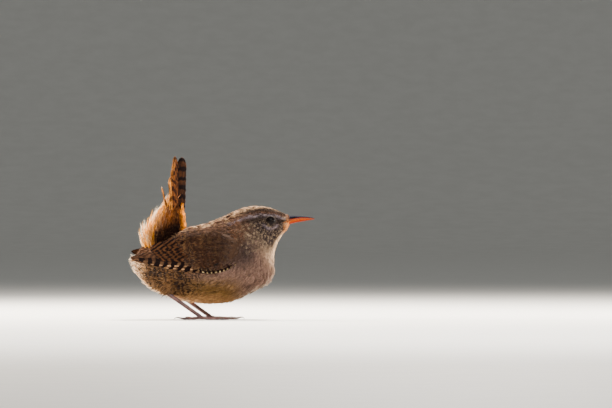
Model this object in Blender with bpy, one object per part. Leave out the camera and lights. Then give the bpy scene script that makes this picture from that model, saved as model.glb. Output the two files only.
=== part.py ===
"""A life-size wren standing with its tail cocked, as closed solids that meet with small gaps.

The bird faces +X, its left side is at +Y, and its soles stand at Z = 0.
Sizes below are in millimetres and the meshes are made in metres.
"""

import math

import bmesh
import bpy
import numpy as np
from mathutils import Vector

MM = 0.001
GAP = 0.3  # space between solids that meet
BODY_SIDES = 28  # points round a section of the body
RIGHT, LEFT = -1.0, 1.0  # side of the bird, as a sign on Y

# Sections of head and body, from the bill's base to the rear of the belly. Each row holds
# the top point (X, Z), the bottom point (X, Z), the half width and how far it is pear shaped.
SECTIONS = (
    (25.4, 40.3, 25.6, 36.7, 1.7, 0.00),
    (24.3, 41.2, 24.9, 35.0, 3.3, 0.00),
    (22.6, 42.1, 23.5, 33.4, 4.9, 0.02),
    (19.5, 43.4, 22.1, 31.1, 6.6, 0.04),
    (16.0, 44.2, 20.9, 28.6, 7.7, 0.06),
    (12.2, 44.4, 20.1, 25.4, 8.9, 0.10),
    (8.5, 43.9, 19.9, 21.6, 10.4, 0.12),
    (4.8, 42.7, 19.7, 17.9, 11.9, 0.14),
    (1.2, 41.1, 18.0, 14.5, 13.3, 0.14),
    (-2.5, 39.5, 14.2, 11.9, 14.3, 0.14),
    (-6.1, 38.1, 9.0, 9.2, 14.9, 0.14),
    (-9.8, 37.1, 3.0, 6.9, 15.0, 0.14),
    (-13.5, 36.3, -3.5, 6.1, 14.6, 0.12),
    (-18.0, 35.3, -10.0, 6.5, 13.6, 0.10),
    (-22.5, 34.0, -16.1, 7.6, 12.0, 0.08),
    (-26.4, 32.0, -22.0, 9.5, 9.9, 0.06),
    (-29.6, 29.4, -27.0, 12.2, 7.2, 0.04),
    (-31.6, 26.4, -30.4, 16.4, 4.4, 0.00),
    (-32.5, 23.6, -32.2, 20.2, 1.6, 0.00),
)
HEAD_END, NECK_END = 5.4, 7.4  # section numbers where the thin cuts part head, neck and torso
RINGS_PER_SECTION = 1.3

# The tail's root and coverts, in sections from inside the rump up: front point, back point, half width.
TAIL_ROOT = (
    (-15.5, 29.0, -30.0, 23.5, 6.8),
    (-14.3, 34.0, -31.2, 29.0, 7.4),
    (-14.0, 37.5, -29.5, 34.8, 6.6),
    (-14.3, 41.0, -26.6, 39.4, 5.4),
    (-14.7, 44.5, -23.6, 43.6, 4.2),
    (-15.4, 47.5, -21.4, 47.2, 3.0),
    (-16.2, 49.6, -19.8, 49.5, 1.8),
)
RUMP_CUT = ((-13.2, 36.9), (-33.4, 26.4))  # the thin cut between torso and tail, seen from the side

# Tail feathers of one side, from the middle pair out: tip (X, Z), tip's distance from the midline.
TAIL_TIPS = (
    (-15.9, 63.3, 1.2),
    (-18.6, 63.5, 2.9),
    (-18.9, 61.6, 4.2),
    (-19.3, 58.8, 5.3),
    (-20.0, 55.5, 6.2),
    (-23.6, 51.7, 6.9),
)
TAIL_ROOT_SIDES = 18  # points round a section of the tail's root
TAIL_FEATHER_ROOT = (-17.0, 0.7, 35.5)  # of the middle pair
TAIL_FEATHER_ROOT_STEP = (-0.6, 0.42, 0.0)  # from one pair's root to the next
TAIL_LEANS = (58.0, 62.0, 64.0, 66.0, 66.0, 62.0)  # degrees by which the vanes turn edge forward
# Front and back half widths of the tail feathers.
TAIL_WEBS = ((2.0, 2.2), (1.2, 1.3), (1.1, 1.2), (1.2, 1.2), (1.2, 1.3), (0.65, 0.7))
TAIL_FEATHER_THICK, TAIL_FEATHER_BEND, TAIL_FEATHER_BLUNT = 0.55, 0.6, 0.16
UNDER_COVERT_ROWS, UNDER_COVERT_LENGTH, UNDER_COVERT_HALF, UNDER_COVERT_THICK = 5, 8.5, 1.9, 0.6
UPPER_COVERTS, UPPER_COVERT_HALF, UPPER_COVERT_THICK = 4, 1.5, 0.55
COVERT_BLUNT = 0.45  # share of a covert's length over which its tip rounds off

# The surface that a folded wing lies on: at each X, its middle height, half height and half width.
WING_BED = (
    (10.0, 27.0, 15.6, 9.6),
    (4.0, 25.5, 16.2, 12.0),
    (-2.0, 24.4, 16.2, 13.0),
    (-8.0, 23.8, 15.8, 13.1),
    (-14.0, 23.6, 15.0, 12.5),
    (-20.0, 24.0, 14.2, 11.3),
    (-26.0, 24.5, 13.4, 9.3),
    (-32.0, 24.6, 12.6, 6.9),
    (-38.0, 24.6, 12.0, 4.7),
)
WING_PIVOT = (4.0, 25.0)  # the shoulder, seen from the side
WING_LIFT = {RIGHT: 0.0, LEFT: 3.5}  # degrees by which a wing's tip is raised about the shoulder
# The folded wing's outline from the side: X, lower Z, upper Z, with room for its cut in the torso.
WING_OUTLINE = (
    (8.0, 25.6, 28.6),
    (5.5, 21.6, 32.4),
    (0.0, 17.9, 35.2),
    (-6.0, 17.0, 35.8),
    (-12.0, 18.2, 35.0),
    (-18.0, 19.2, 33.4),
    (-24.0, 19.9, 31.0),
    (-30.0, 21.4, 28.4),
    (-36.7, 23.2, 24.8),
)
WING_CUT_MARGIN = 0.45
WING_ROOM_HEIGHT = 7.0
SHOULDER_FRONT, SHOULDER_BACK = 7.7, -13.0  # X of the ends of the wing's arm
SHOULDER_RIM, SHOULDER_SWELL = 0.45, 1.75  # height of the arm at its rim, and how much it swells
VANE_THICK, VANE_BLUNT, VANE_RIDGE = 0.55, 0.28, 0.12
PRIMARIES, PRIMARY_ROOTS = 7, ((-3.5, 23.6), (2.0, 21.6))
PRIMARY_BOW, PRIMARY_WIDTH, PRIMARY_HEIGHT = -0.5, 3.4, 0.95
# Tiers of wing feathers: name, how many, root (X, Z) of the first and last, tip of the first and last,
# then bow, width, height of the root and height of the tip, each for the first and last.
WING_TIERS = (
    ("secondary", 4, (-5.0, 24.8), (-8.0, 28.6), (-25.2, 26.2), (-29.0, 27.0),
     (0.0, 0.3), (4.2, 4.2), (1.15, 1.55), (1.15, 1.55)),
    ("tertial", 3, (-6.5, 29.2), (-4.5, 32.4), (-28.4, 28.0), (-18.5, 32.2),
     (0.7, 0.7), (4.8, 4.2), (1.75, 2.25), (1.75, 2.25)),
    ("greater_covert", 5, (2.6, 22.6), (0.0, 32.0), (-9.0, 21.6), (-13.5, 32.2),
     (0.4, 0.4), (3.7, 3.7), (1.1, 1.3), (1.5, 2.6)),
    ("primary_covert", 3, (4.4, 23.4), (4.8, 21.9), (-8.0, 20.1), (-4.6, 18.5),
     (-0.2, -0.2), (2.2, 2.2), (1.5, 1.1), (1.2, 0.7)),
    ("median_covert", 4, (5.4, 24.6), (3.6, 32.4), (-3.0, 22.9), (-6.8, 33.0),
     (0.3, 0.3), (3.9, 3.9), (1.2, 1.2), (2.1, 3.0)),
)

EYE_CENTRE = (18.6, 5.55, 38.4)  # of the left eye
EYE_RADIUS = 2.1
LID_RADIUS, LID_THICK = 2.15, 0.42

# The bill: X, top of the upper mandible, line of the mouth, underside of the lower one, half width.
BILL = (
    (25.9, 40.3, 38.40, 36.90, 1.75),
    (27.5, 40.45, 38.85, 37.45, 1.50),
    (29.2, 40.45, 39.25, 37.90, 1.22),
    (31.2, 40.38, 39.50, 38.30, 0.92),
    (33.2, 40.15, 39.50, 38.70, 0.62),
    (34.8, 39.80, 39.38, 38.98, 0.38),
    (35.9, 39.40, 39.22, 39.10, 0.14),
)
MOUTH_FRONT, MOUTH_CORNER = (27.0, 38.78), (23.0, 37.45)  # ends of the mouth's line, as (X, Z)
LOWER_BILL_SHARE = 0.92  # width of the lower mandible against the upper one
NOSTRIL_PATH = ((26.9, 1.62, 39.35), (27.4, 1.52, 39.45), (28.1, 1.38, 39.55), (28.6, 1.3, 39.6))
NOSTRIL_RADII = (0.08, 0.26, 0.26, 0.08)

ANKLE_Z = 11.4
ANKLE_SPREAD, FOOT_SPREAD = 6.8, 6.2  # distance of ankles and feet from the midline
TARSUS_RUN = 14.3  # how far forward of its ankle a foot stands
TARSUS_FOOT_Z = 1.25
TARSUS_RADIUS = 0.76
PALM_REACH = 1.45  # how far up the shank the foot's own solid begins
FOOT_X = {RIGHT: -8.7, LEFT: -5.2}
ANKLE_BARE = 2.9  # how far short of the ankle the feathers end
ANKLE_BEND = 1.15  # radius of the ankle's bend
THIGH_RADIUS, THIGH_TAPER = 3.3, 2.25  # radius at the knee, and how much thinner the thigh is at its end
KNEE_OFFSET = (11.5, 4.2)  # from the ankle to the thigh's upper end, in X and Z
TOE_RADIUS = 0.55
TOE_AXIS_Z = 0.45
# Toes of a foot: heading away from straight ahead, outwards positive, toe length, claw length.
TOES = (
    ("hind", 176.0, 6.8, 4.2),
    ("inner", -27.0, 7.0, 2.6),
    ("middle", 3.0, 10.6, 3.0),
    ("outer", 30.0, 8.2, 2.6),
)
TOE_START_X = 0.25  # how far before the foot's middle the toes begin


def clear_scene():
    for thing in list(bpy.data.objects):
        bpy.data.objects.remove(thing)


def material(name, colour, roughness):
    made = bpy.data.materials.new(name)
    made.use_nodes = True
    shader = made.node_tree.nodes["Principled BSDF"]
    shader.inputs["Base Color"].default_value = (*colour, 1.0)
    shader.inputs["Roughness"].default_value = roughness
    shader.inputs["Metallic"].default_value = 0.0
    return made


def spline(table, place):
    """A smooth row between the rows of a table, at a fractional row number."""
    rows = np.asarray(table, float)
    last = len(rows) - 1
    i = min(int(place), last - 1)
    t = place - i
    before, a, b, after = rows[max(i - 1, 0)], rows[i], rows[i + 1], rows[min(i + 2, last)]
    tangent_a, tangent_b = (b - before) / 2, (after - a) / 2
    return (
        (2 * t**3 - 3 * t**2 + 1) * a
        + (t**3 - 2 * t**2 + t) * tangent_a
        + (3 * t**2 - 2 * t**3) * b
        + (t**3 - t**2) * tangent_b
    )


def spline_at_x(table, x):
    """The smooth row of a table whose first column runs down from its first row, at a given X."""
    rows = np.asarray(table, float)
    i = int(np.clip(np.searchsorted(-rows[:, 0], -x) - 1, 0, len(rows) - 2))
    share = (x - rows[i, 0]) / (rows[i + 1, 0] - rows[i, 0])
    return spline(table, i + float(np.clip(share, -0.5, 1.0)))


def new_object(name, points, faces, finish=None, smooth=True):
    """An object from points in millimetres, with its faces turned outwards."""
    mesh = bpy.data.meshes.new(name)
    mesh.from_pydata([Vector(p) * MM for p in points], [], faces)
    shape = bmesh.new()
    shape.from_mesh(mesh)
    bmesh.ops.recalc_face_normals(shape, faces=shape.faces)
    shape.to_mesh(mesh)
    shape.free()
    if smooth:
        mesh.shade_smooth()
    if finish:
        mesh.materials.append(finish)
    made = bpy.data.objects.new(name, mesh)
    bpy.context.scene.collection.objects.link(made)
    return made


def skin_rings(rings):
    """Points and triangles of a closed solid through rings of equal count, capped at both ends."""
    count = len(rings[0])
    points = [tuple(p) for ring in rings for p in ring]
    faces = []
    for r in range(len(rings) - 1):
        for i in range(count):
            j = (i + 1) % count
            a, b = r * count + i, r * count + j
            c, d = a + count, b + count
            faces += [(a, b, d), (a, d, c)]
    for ring, base in ((rings[0], 0), (rings[-1], (len(rings) - 1) * count)):
        points.append(tuple(np.mean(ring, axis=0)))
        hub = len(points) - 1
        faces += [(base + i, base + (i + 1) % count, hub) for i in range(count)]
    return points, faces


def loft(name, rings, finish=None):
    points, faces = skin_rings(rings)
    return new_object(name, points, faces, finish)


def tube(name, path, radii, sides, finish=None, flatten=1.0):
    """A round solid along a path of points, with a radius at each; flatten narrows it sideways."""
    path = np.asarray(path, float)
    rings = []
    for i, centre in enumerate(path):
        ahead = path[min(i + 1, len(path) - 1)] - path[max(i - 1, 0)]
        ahead /= np.linalg.norm(ahead)
        side = np.cross(ahead, (0.0, 0.0, 1.0))
        if np.linalg.norm(side) < 1e-3:
            side = np.array((0.0, 1.0, 0.0))
        side /= np.linalg.norm(side)
        up = np.cross(side, ahead)
        turns = (math.tau * k / sides for k in range(sides))
        rings.append([centre + radii[i] * (flatten * math.cos(a) * side + math.sin(a) * up) for a in turns])
    return loft(name, rings, finish)


def boolean(target, operation, others, solver="EXACT"):
    """Applies one Boolean with a collection of closed objects, then removes them."""
    group = bpy.data.collections.new(target.name + "_tools")
    for other in others:
        group.objects.link(other)
    step = target.modifiers.new("Fuse", "BOOLEAN")
    step.operation = operation
    step.operand_type = "COLLECTION"
    step.collection = group
    step.solver = solver
    graph = bpy.context.evaluated_depsgraph_get()
    mesh = bpy.data.meshes.new_from_object(target.evaluated_get(graph))
    target.modifiers.clear()
    target.data = mesh
    for other in others:
        bpy.data.objects.remove(other)
    bpy.data.collections.remove(group)
    keep_largest(target)


def keep_largest(target):
    """Keeps only the closed surface with the largest volume."""
    shape = bmesh.new()
    shape.from_mesh(target.data)
    bmesh.ops.triangulate(shape, faces=shape.faces)
    left, islands = set(shape.faces), []
    while left:
        seed = left.pop()
        island, front = {seed}, [seed]
        while front:
            for edge in front.pop().edges:
                for face in edge.link_faces:
                    if face in left:
                        left.remove(face)
                        island.add(face)
                        front.append(face)
        islands.append(island)

    def volume(island):
        corners = ([v.co for v in face.verts] for face in island)
        return abs(sum(a.dot(b.cross(c)) for a, b, c in corners))

    islands.sort(key=volume, reverse=True)
    scraps = [face for island in islands[1:] for face in island]
    bmesh.ops.delete(shape, geom=scraps, context="FACES")
    shape.to_mesh(target.data)
    shape.free()


def keep_side(target, point, normal):
    """Cuts a solid with a plane given in millimetres and keeps the part that the normal points to."""
    shape = bmesh.new()
    shape.from_mesh(target.data)
    everything = shape.verts[:] + shape.edges[:] + shape.faces[:]
    cut = bmesh.ops.bisect_plane(
        shape, geom=everything, dist=1e-8, plane_co=Vector(point) * MM, plane_no=normal, clear_inner=True
    )
    rim = [g for g in cut["geom_cut"] if isinstance(g, bmesh.types.BMEdge)]
    bmesh.ops.holes_fill(shape, edges=rim, sides=0)
    bmesh.ops.triangulate(shape, faces=shape.faces)
    bmesh.ops.recalc_face_normals(shape, faces=shape.faces)
    shape.to_mesh(target.data)
    shape.free()
    keep_largest(target)


def body_ring(place, shrink=0.0):
    """The body's section at a fractional section number."""
    top_x, top_z, low_x, low_z, half_width, pear = spline(SECTIONS, place)
    top, low = np.array((top_x, 0.0, top_z)), np.array((low_x, 0.0, low_z))
    centre, up = (top + low) / 2, (top - low) / 2
    up *= 1 - shrink / np.linalg.norm(up)
    ring = []
    for k in range(BODY_SIDES):
        turn = math.tau * k / BODY_SIDES
        across = (half_width - shrink) * math.sin(turn) * (1 - pear * math.cos(turn))
        ring.append(centre + up * math.cos(turn) + np.array((0.0, across, 0.0)))
    return ring


def body_length(name, start, end, finish):
    """A length of the body between two section numbers."""
    steps = max(2, round((end - start) * RINGS_PER_SECTION))
    return loft(name, [body_ring(start + (end - start) * s / steps) for s in range(steps + 1)], finish)


def section_gap(place):
    """How many section numbers make half the gap, where neighbouring sections lie closest."""
    step = 0.1
    here, ahead = np.array(body_ring(place)), np.array(body_ring(place + step))
    quarter = BODY_SIDES // 4
    normal = np.cross(here[0] - here[2 * quarter], here[quarter] - here[3 * quarter])
    normal /= np.linalg.norm(normal)
    return step * (GAP / 2) / np.abs((ahead - here) @ normal).min()


def bed_point(x, z, height, side):
    """A point over the surface that the folded wing lies on, height millimetres out from it."""
    turn = math.radians(WING_LIFT[side])
    run, rise = x - WING_PIVOT[0], z - WING_PIVOT[1]
    x = WING_PIVOT[0] + run * math.cos(turn) + rise * math.sin(turn)
    z = WING_PIVOT[1] - run * math.sin(turn) + rise * math.cos(turn)

    def spot(at_x, at_z):
        _, middle, half_height, half_width = spline_at_x(WING_BED, at_x)
        share = min(abs(at_z - middle) / half_height, 0.97)
        return np.array((at_x, half_width * math.sqrt(1 - share * share), at_z))

    step = 0.2
    here = spot(x, z)
    out = np.cross(spot(x, z + step) - spot(x, z - step), spot(x + step, z) - spot(x - step, z))
    out /= np.linalg.norm(out)
    if out[1] < 0:
        out = -out
    made = here + height * out
    return np.array((made[0], side * made[1], made[2]))


def bed_solid(name, side, first, last, margin, low, high, columns, rows):
    """A solid on the wing's bed within the wing's outline, grown by a margin, from one X to another.

    low is its height over the bed underneath. high gives the height on top from two shares, along and up.
    """
    points, faces = [], []
    for height in (lambda along, up: low, high):
        for c in range(columns + 1):
            x = first + (last - first) * c / columns
            inside_x = min(max(x, WING_OUTLINE[-1][0]), WING_OUTLINE[0][0])
            _, bottom, top = spline_at_x(WING_OUTLINE, inside_x)
            for r in range(rows + 1):
                z = bottom - margin + (top - bottom + 2 * margin) * r / rows
                points.append(bed_point(x, z, height(c / columns, r / rows), side))
    stride, layer = rows + 1, (rows + 1) * (columns + 1)
    for c in range(columns):
        for r in range(rows):
            a = c * stride + r
            b, d, e = a + 1, a + stride, a + stride + 1
            faces += [(a, b, e), (a, e, d)]
            faces += [(layer + a, layer + e, layer + b), (layer + a, layer + d, layer + e)]
    rim = [r for r in range(rows)] + [c * stride + rows for c in range(columns)]
    rim += [columns * stride + r for r in range(rows, 0, -1)] + [c * stride for c in range(columns, 0, -1)]
    for a, b in zip(rim, rim[1:] + rim[:1]):
        faces += [(a, layer + b, b), (a, layer + a, layer + b)]
    return new_object(name, points, faces)


def wing_room(side):
    """The space in the flank's plumage where a folded wing lies."""
    first, last = WING_OUTLINE[0][0] + WING_CUT_MARGIN, WING_OUTLINE[-1][0] - WING_CUT_MARGIN
    low = -GAP * 1.5
    name = f"wing_room_{side:.0f}"
    return bed_solid(name, side, first, last, WING_CUT_MARGIN, low, lambda along, up: WING_ROOM_HEIGHT, 14, 6)


def vane(name, spine, across, out, inner, outer, thick):
    """A closed feather: at each step along its spine, the directions across and out and two half widths."""
    rings = []
    for i, centre in enumerate(spine):
        lift, ridge = out[i] * thick, out[i] * thick * 1.25
        inside, outside = centre - across[i] * inner[i], centre + across[i] * outer[i]
        rings.append([inside, outside, outside + lift, centre + ridge, inside + lift])
    return loft(name, rings)


def closing(t, blunt, least=0.12):
    """Share of its width that a feather has left where its tip rounds off."""
    past = max(0.0, (t - (1 - blunt)) / blunt)
    return max(math.sqrt(max(0.0, 1 - past**2)), least)


def even_steps(steps, blunt):
    """Places along a feather, closer together where the tip rounds off."""
    body_steps = steps - 2
    places = [(1 - blunt) * i / body_steps for i in range(body_steps + 1)]
    return places + [1 - blunt * 0.35, 1.0]


def wing_vane(name, side, root, tip, bow, width, heights):
    """A wing feather laid on the wing's bed from root to tip, points seen from the side as (X, Z)."""
    root, tip = np.array(root, float), np.array(tip, float)
    along = (tip - root) / np.linalg.norm(tip - root)
    over = np.array((-along[1], along[0]))
    if over[1] < 0:
        over = -over
    rings = []
    for t in even_steps(4, VANE_BLUNT):
        middle = root + (tip - root) * t + over * bow * 4 * t * (1 - t)
        grown = 0.6 + 0.4 * math.sin(min(t / 0.5, 1.0) * math.pi / 2)
        half = width / 2 * grown * closing(t, VANE_BLUNT, 0.1)
        height = heights[0] + (heights[1] - heights[0]) * t
        low, high = middle - over * half, middle + over * half
        top = height + VANE_THICK
        corners = ((low, height), (high, height), (high, top), (middle, top + VANE_RIDGE), (low, top))
        rings.append([bed_point(*spot, h, side) for spot, h in corners])
    return loft(name, rings)


def between(a, b, share):
    return tuple(np.asarray(a, float) * (1 - share) + np.asarray(b, float) * share)


def primary_tip(share):
    """Tip of a primary, from the innermost at 0 to the outermost at 1; the longest lies at the wing's tip."""
    longest = 2 / 3
    if share < longest:
        short = 10.4 * (1 - share / longest) ** 1.6
        return -35.9 + short, 24.0 + 1.7 * (1 - share / longest)
    past = (share - longest) / (1 - longest)
    return -35.9 + 9.5 * past**1.3, 24.0 - 1.3 * past


def wing(name, side, finish):
    """A folded wing: a smooth shoulder and arm, with flight feathers and coverts fused over it in tiers."""
    pieces = []
    for k in range(PRIMARIES):
        f = k / (PRIMARIES - 1)
        level = PRIMARY_HEIGHT * (1 - f)
        root, tip = between(*PRIMARY_ROOTS, f), primary_tip(f)
        label = f"{name}_primary_{k}"
        pieces.append(wing_vane(label, side, root, tip, PRIMARY_BOW * f, PRIMARY_WIDTH, (level, level)))
    for group, count, root_a, root_b, tip_a, tip_b, bows, widths, root_heights, tip_heights in WING_TIERS:
        for k in range(count):
            f = k / (count - 1)
            bow, width, low, high = (a + (b - a) * f for a, b in (bows, widths, root_heights, tip_heights))
            root, tip = between(root_a, root_b, f), between(tip_a, tip_b, f)
            pieces.append(wing_vane(f"{name}_{group}_{k}", side, root, tip, bow, width, (low, high)))
    shoulder = wing_shoulder(name, side)
    boolean(shoulder, "UNION", pieces, solver="MANIFOLD")
    shoulder.data.materials.clear()
    shoulder.data.materials.append(finish)
    return shoulder


def wing_shoulder(name, side):
    """The arm of the folded wing: a smooth lens on the wing's bed, thick at the wrist."""

    def height(along, up):
        lens = 1 - (2 * up - 1) ** 4
        swell = math.sin(math.pi * min(0.1 + 0.9 * along, 0.97))
        return SHOULDER_RIM + SHOULDER_SWELL * math.sqrt(max(0.0, lens * swell))

    return bed_solid(name, side, SHOULDER_FRONT, SHOULDER_BACK, -0.25, 0.0, height, 9, 6)


def tail_feathers():
    """Tail feathers roofed like a tent whose ridge faces forward, each outer one under the next."""
    pieces = []
    for side in (RIGHT, LEFT):
        for i, (tip_x, tip_z, tip_y) in enumerate(TAIL_TIPS):
            lean = math.radians(TAIL_LEANS[i])
            root = np.array(TAIL_FEATHER_ROOT) + np.array(TAIL_FEATHER_ROOT_STEP) * i
            root *= (1.0, side, 1.0)
            tip = np.array((tip_x, side * tip_y, tip_z))
            across = np.array((-math.sin(lean), side * math.cos(lean), 0.0))
            out = np.array((math.cos(lean), side * math.sin(lean), 0.0))
            front_web, back_web = TAIL_WEBS[i]
            spine, inner, outer = [], [], []
            for t in even_steps(5, TAIL_FEATHER_BLUNT):
                bend = out * TAIL_FEATHER_BEND * math.sin(math.pi * t)
                spine.append(root + (tip - root) * t + bend - out * 0.1 * i)
                grown = (0.55 + 0.45 * min(t / 0.5, 1.0)) * closing(t, TAIL_FEATHER_BLUNT)
                inner.append(front_web * grown)
                outer.append(back_web * grown)
            name = f"tail_vane_{side:.0f}_{i}"
            acrosses, outs = [across] * len(spine), [out] * len(spine)
            pieces.append(vane(name, spine, acrosses, outs, inner, outer, TAIL_FEATHER_THICK))
    return pieces


def under_covert(row, share):
    """One covert behind the tail's root; share runs from one side to the other."""
    place = 0.6 + 0.95 * row
    front_x, front_z, back_x, back_z, half_width = spline(TAIL_ROOT, place)
    ahead = spline(TAIL_ROOT, place + 0.3)
    rise = np.array((ahead[2] - back_x, 0.0, ahead[3] - back_z))
    rise /= np.linalg.norm(rise)
    angle = share * 1.15
    out = np.array((-math.cos(angle), math.sin(angle), 0.0))
    across = np.array((math.sin(angle), math.cos(angle), 0.0))
    middle = np.array(((front_x + back_x) / 2, 0.0, (front_z + back_z) / 2))
    reach = np.array(((front_x - back_x) / 2, half_width))
    seat = middle + np.array((-reach[0] * math.cos(angle), reach[1] * math.sin(angle), 0.0))
    length = UNDER_COVERT_LENGTH - 0.5 * row
    spine, halves = [], []
    for t in even_steps(3, COVERT_BLUNT):
        spine.append(seat - rise * 2.0 + rise * length * t + out * (-1.2 + 1.7 * t))
        halves.append(UNDER_COVERT_HALF * (0.7 + 0.3 * min(t / 0.4, 1.0)) * closing(t, COVERT_BLUNT))
    count = len(spine)
    name = f"under_covert_{row}_{share:.2f}"
    return vane(name, spine, [across] * count, [out] * count, halves, halves, UNDER_COVERT_THICK)


def upper_covert(share):
    """One covert in front of the tail's root; share runs from -1 to 1 across it."""
    seat = np.array((-14.9 - 0.9 * abs(share), 2.6 * share, 36.2))
    tip = np.array((-14.0 - 0.8 * abs(share), 3.2 * share, 46.4 - 1.6 * abs(share)))
    across, out = np.array((0.0, 1.0, 0.0)), np.array((1.0, 0.0, 0.0))
    spine, halves = [], []
    for t in even_steps(3, COVERT_BLUNT):
        spine.append(seat + (tip - seat) * t - out * 0.45)
        halves.append(UPPER_COVERT_HALF * closing(t, COVERT_BLUNT))
    count = len(spine)
    name = f"upper_covert_{share:.2f}"
    return vane(name, spine, [across] * count, [out] * count, halves, halves, UPPER_COVERT_THICK)


def tail_coverts():
    """Coverts under and over the tail's root, in staggered rows that follow its curve."""
    pieces = []
    for row in range(UNDER_COVERT_ROWS):
        count = 3 + (row + 1) % 2
        for k in range(count):
            pieces.append(under_covert(row, (k - (count - 1) / 2) / (count - 1) * 1.5))
    half = (UPPER_COVERTS - 1) / 2
    return pieces + [upper_covert((k - half) / half) for k in range(UPPER_COVERTS)]


def tail_root_ring(place):
    front_x, front_z, back_x, back_z, half_width = spline(TAIL_ROOT, place)
    front, back = np.array((front_x, 0.0, front_z)), np.array((back_x, 0.0, back_z))
    centre, reach = (front + back) / 2, (front - back) / 2
    turns = (math.tau * k / TAIL_ROOT_SIDES for k in range(TAIL_ROOT_SIDES))
    return [centre + reach * math.cos(a) + np.array((0.0, half_width * math.sin(a), 0.0)) for a in turns]


def rump_plane():
    """A point and the upward normal of the thin cut between torso and tail."""
    (front_x, front_z), (back_x, back_z) = RUMP_CUT
    run = Vector((back_x - front_x, 0.0, back_z - front_z)).normalized()
    normal = Vector((run.z, 0.0, -run.x))
    return Vector((front_x, 0.0, front_z)), normal


def make_tail(finish):
    steps = 8
    root = loft("tail", [tail_root_ring((len(TAIL_ROOT) - 1) * s / steps) for s in range(steps + 1)])
    rump = body_length("rump", 11.0, len(SECTIONS) - 1.0, None)
    boolean(root, "UNION", [rump] + tail_feathers() + tail_coverts(), solver="MANIFOLD")
    point, normal = rump_plane()
    keep_side(root, point + normal * GAP / 2, normal)
    root.data.materials.clear()
    root.data.materials.append(finish)
    return root


def thigh_path(side):
    ankle = np.array((FOOT_X[side] - TARSUS_RUN, side * ANKLE_SPREAD, ANKLE_Z))
    knee = ankle + np.array((KNEE_OFFSET[0], 0.0, KNEE_OFFSET[1]))
    return knee, ankle


def make_thigh(name, side, grow, finish):
    """The feathered lower thigh, from inside the belly back to just short of the ankle."""
    knee, ankle = thigh_path(side)
    along = (ankle - knee) / np.linalg.norm(ankle - knee)
    end = ankle - along * ANKLE_BARE
    steps = 7
    path, radii = [], []
    for s in range(steps + 1):
        t = s / steps
        path.append(knee + (end - knee) * t)
        radii.append(THIGH_RADIUS - THIGH_TAPER * t**1.2 + grow)
    if grow:
        path[0], path[-1] = path[0] - along * grow, path[-1] + along * (ANKLE_BARE + 1.2)
    return tube(name, path, radii, 16, finish)


def round_corner(corner, one_way, other_way, radius, count):
    """Points on the arc that rounds off a corner between two unit directions that leave it."""
    middle = (one_way + other_way) / np.linalg.norm(one_way + other_way)
    half = math.acos(float(one_way @ other_way)) / 2
    centre = corner + middle * radius / math.sin(half)
    start = corner + one_way * radius / math.tan(half) - centre
    end = corner + other_way * radius / math.tan(half) - centre
    sweep = math.pi - 2 * half
    arc = []
    for k in range(count):
        share = k / (count - 1)
        mixed = math.sin((1 - share) * sweep) * start + math.sin(share * sweep) * end
        arc.append(centre + mixed / math.sin(sweep))
    return arc


def shank_room(side):
    """Room in the belly's plumage for the upper end of a shank."""
    _, ankle = thigh_path(side)
    foot = np.array((FOOT_X[side], side * FOOT_SPREAD, TARSUS_FOOT_Z))
    shank = (foot - ankle) / np.linalg.norm(foot - ankle)
    return tube(f"shank_room_{side:.0f}", [ankle - shank * 1.3, ankle + shank * 9.0], [1.35, 1.12], 12)


def make_tarsus(name, side, finish):
    """The bare shank: a short stub that faces the thigh, the ankle's bend, then straight to the foot."""
    knee, ankle = thigh_path(side)
    tibia = (ankle - knee) / np.linalg.norm(ankle - knee)
    foot = np.array((FOOT_X[side], side * FOOT_SPREAD, TARSUS_FOOT_Z))
    shank = (foot - ankle) / np.linalg.norm(foot - ankle)
    start = ankle - tibia * (ANKLE_BARE - GAP)
    end = foot - shank * PALM_REACH
    path = [start] + round_corner(ankle, -tibia, shank, ANKLE_BEND, 7)
    radii = [0.66, 0.72, 0.82, 0.9, 0.95, 0.95, 0.92, 0.86]
    path += [(path[-1] + end) / 2, end - shank * 2.0, end]
    radii += [TARSUS_RADIUS, TARSUS_RADIUS, 0.8]
    return tube(name, path, radii, 12, finish, flatten=0.85)


def toe_direction(side, heading):
    turn = math.radians(heading)
    return np.array((math.cos(turn), side * math.sin(turn), 0.0))


def make_toe(name, side, heading, length):
    """A toe with its joint pads, cut flat below where it stands."""
    ahead = toe_direction(side, heading)
    root = np.array((FOOT_X[side] + TOE_START_X, side * FOOT_SPREAD, 0.0))
    steps = 7
    path, radii = [], []
    for s in range(steps + 1):
        t = s / steps
        lift = 0.28 * (1 - t) ** 3
        swell = 1 + 0.13 * math.cos(t * math.tau * 2.5)
        path.append(root + ahead * length * t + np.array((0.0, 0.0, TOE_AXIS_Z + lift)))
        radii.append(TOE_RADIUS * swell * (1.08 - 0.22 * t))
    return tube(name, path, radii, 8)


def make_foot(name, side, finish):
    foot = np.array((FOOT_X[side], side * FOOT_SPREAD, TARSUS_FOOT_Z))
    _, ankle = thigh_path(side)
    shank = (foot - ankle) / np.linalg.norm(foot - ankle)
    start = foot - shank * (PALM_REACH - GAP)
    palm_end = foot + np.array((0.55, 0.0, -0.55))
    palm = tube(name, [start, foot - shank * 0.2, foot + shank * 0.35, palm_end], [0.8, 0.88, 0.9, 0.6], 12)
    toes = [make_toe(f"{name}_{label}", side, heading, length) for label, heading, length, _ in TOES]
    boolean(palm, "UNION", toes, solver="MANIFOLD")
    keep_side(palm, (0.0, 0.0, 0.0), (0.0, 0.0, 1.0))
    palm.data.materials.clear()
    palm.data.materials.append(finish)
    return palm


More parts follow.
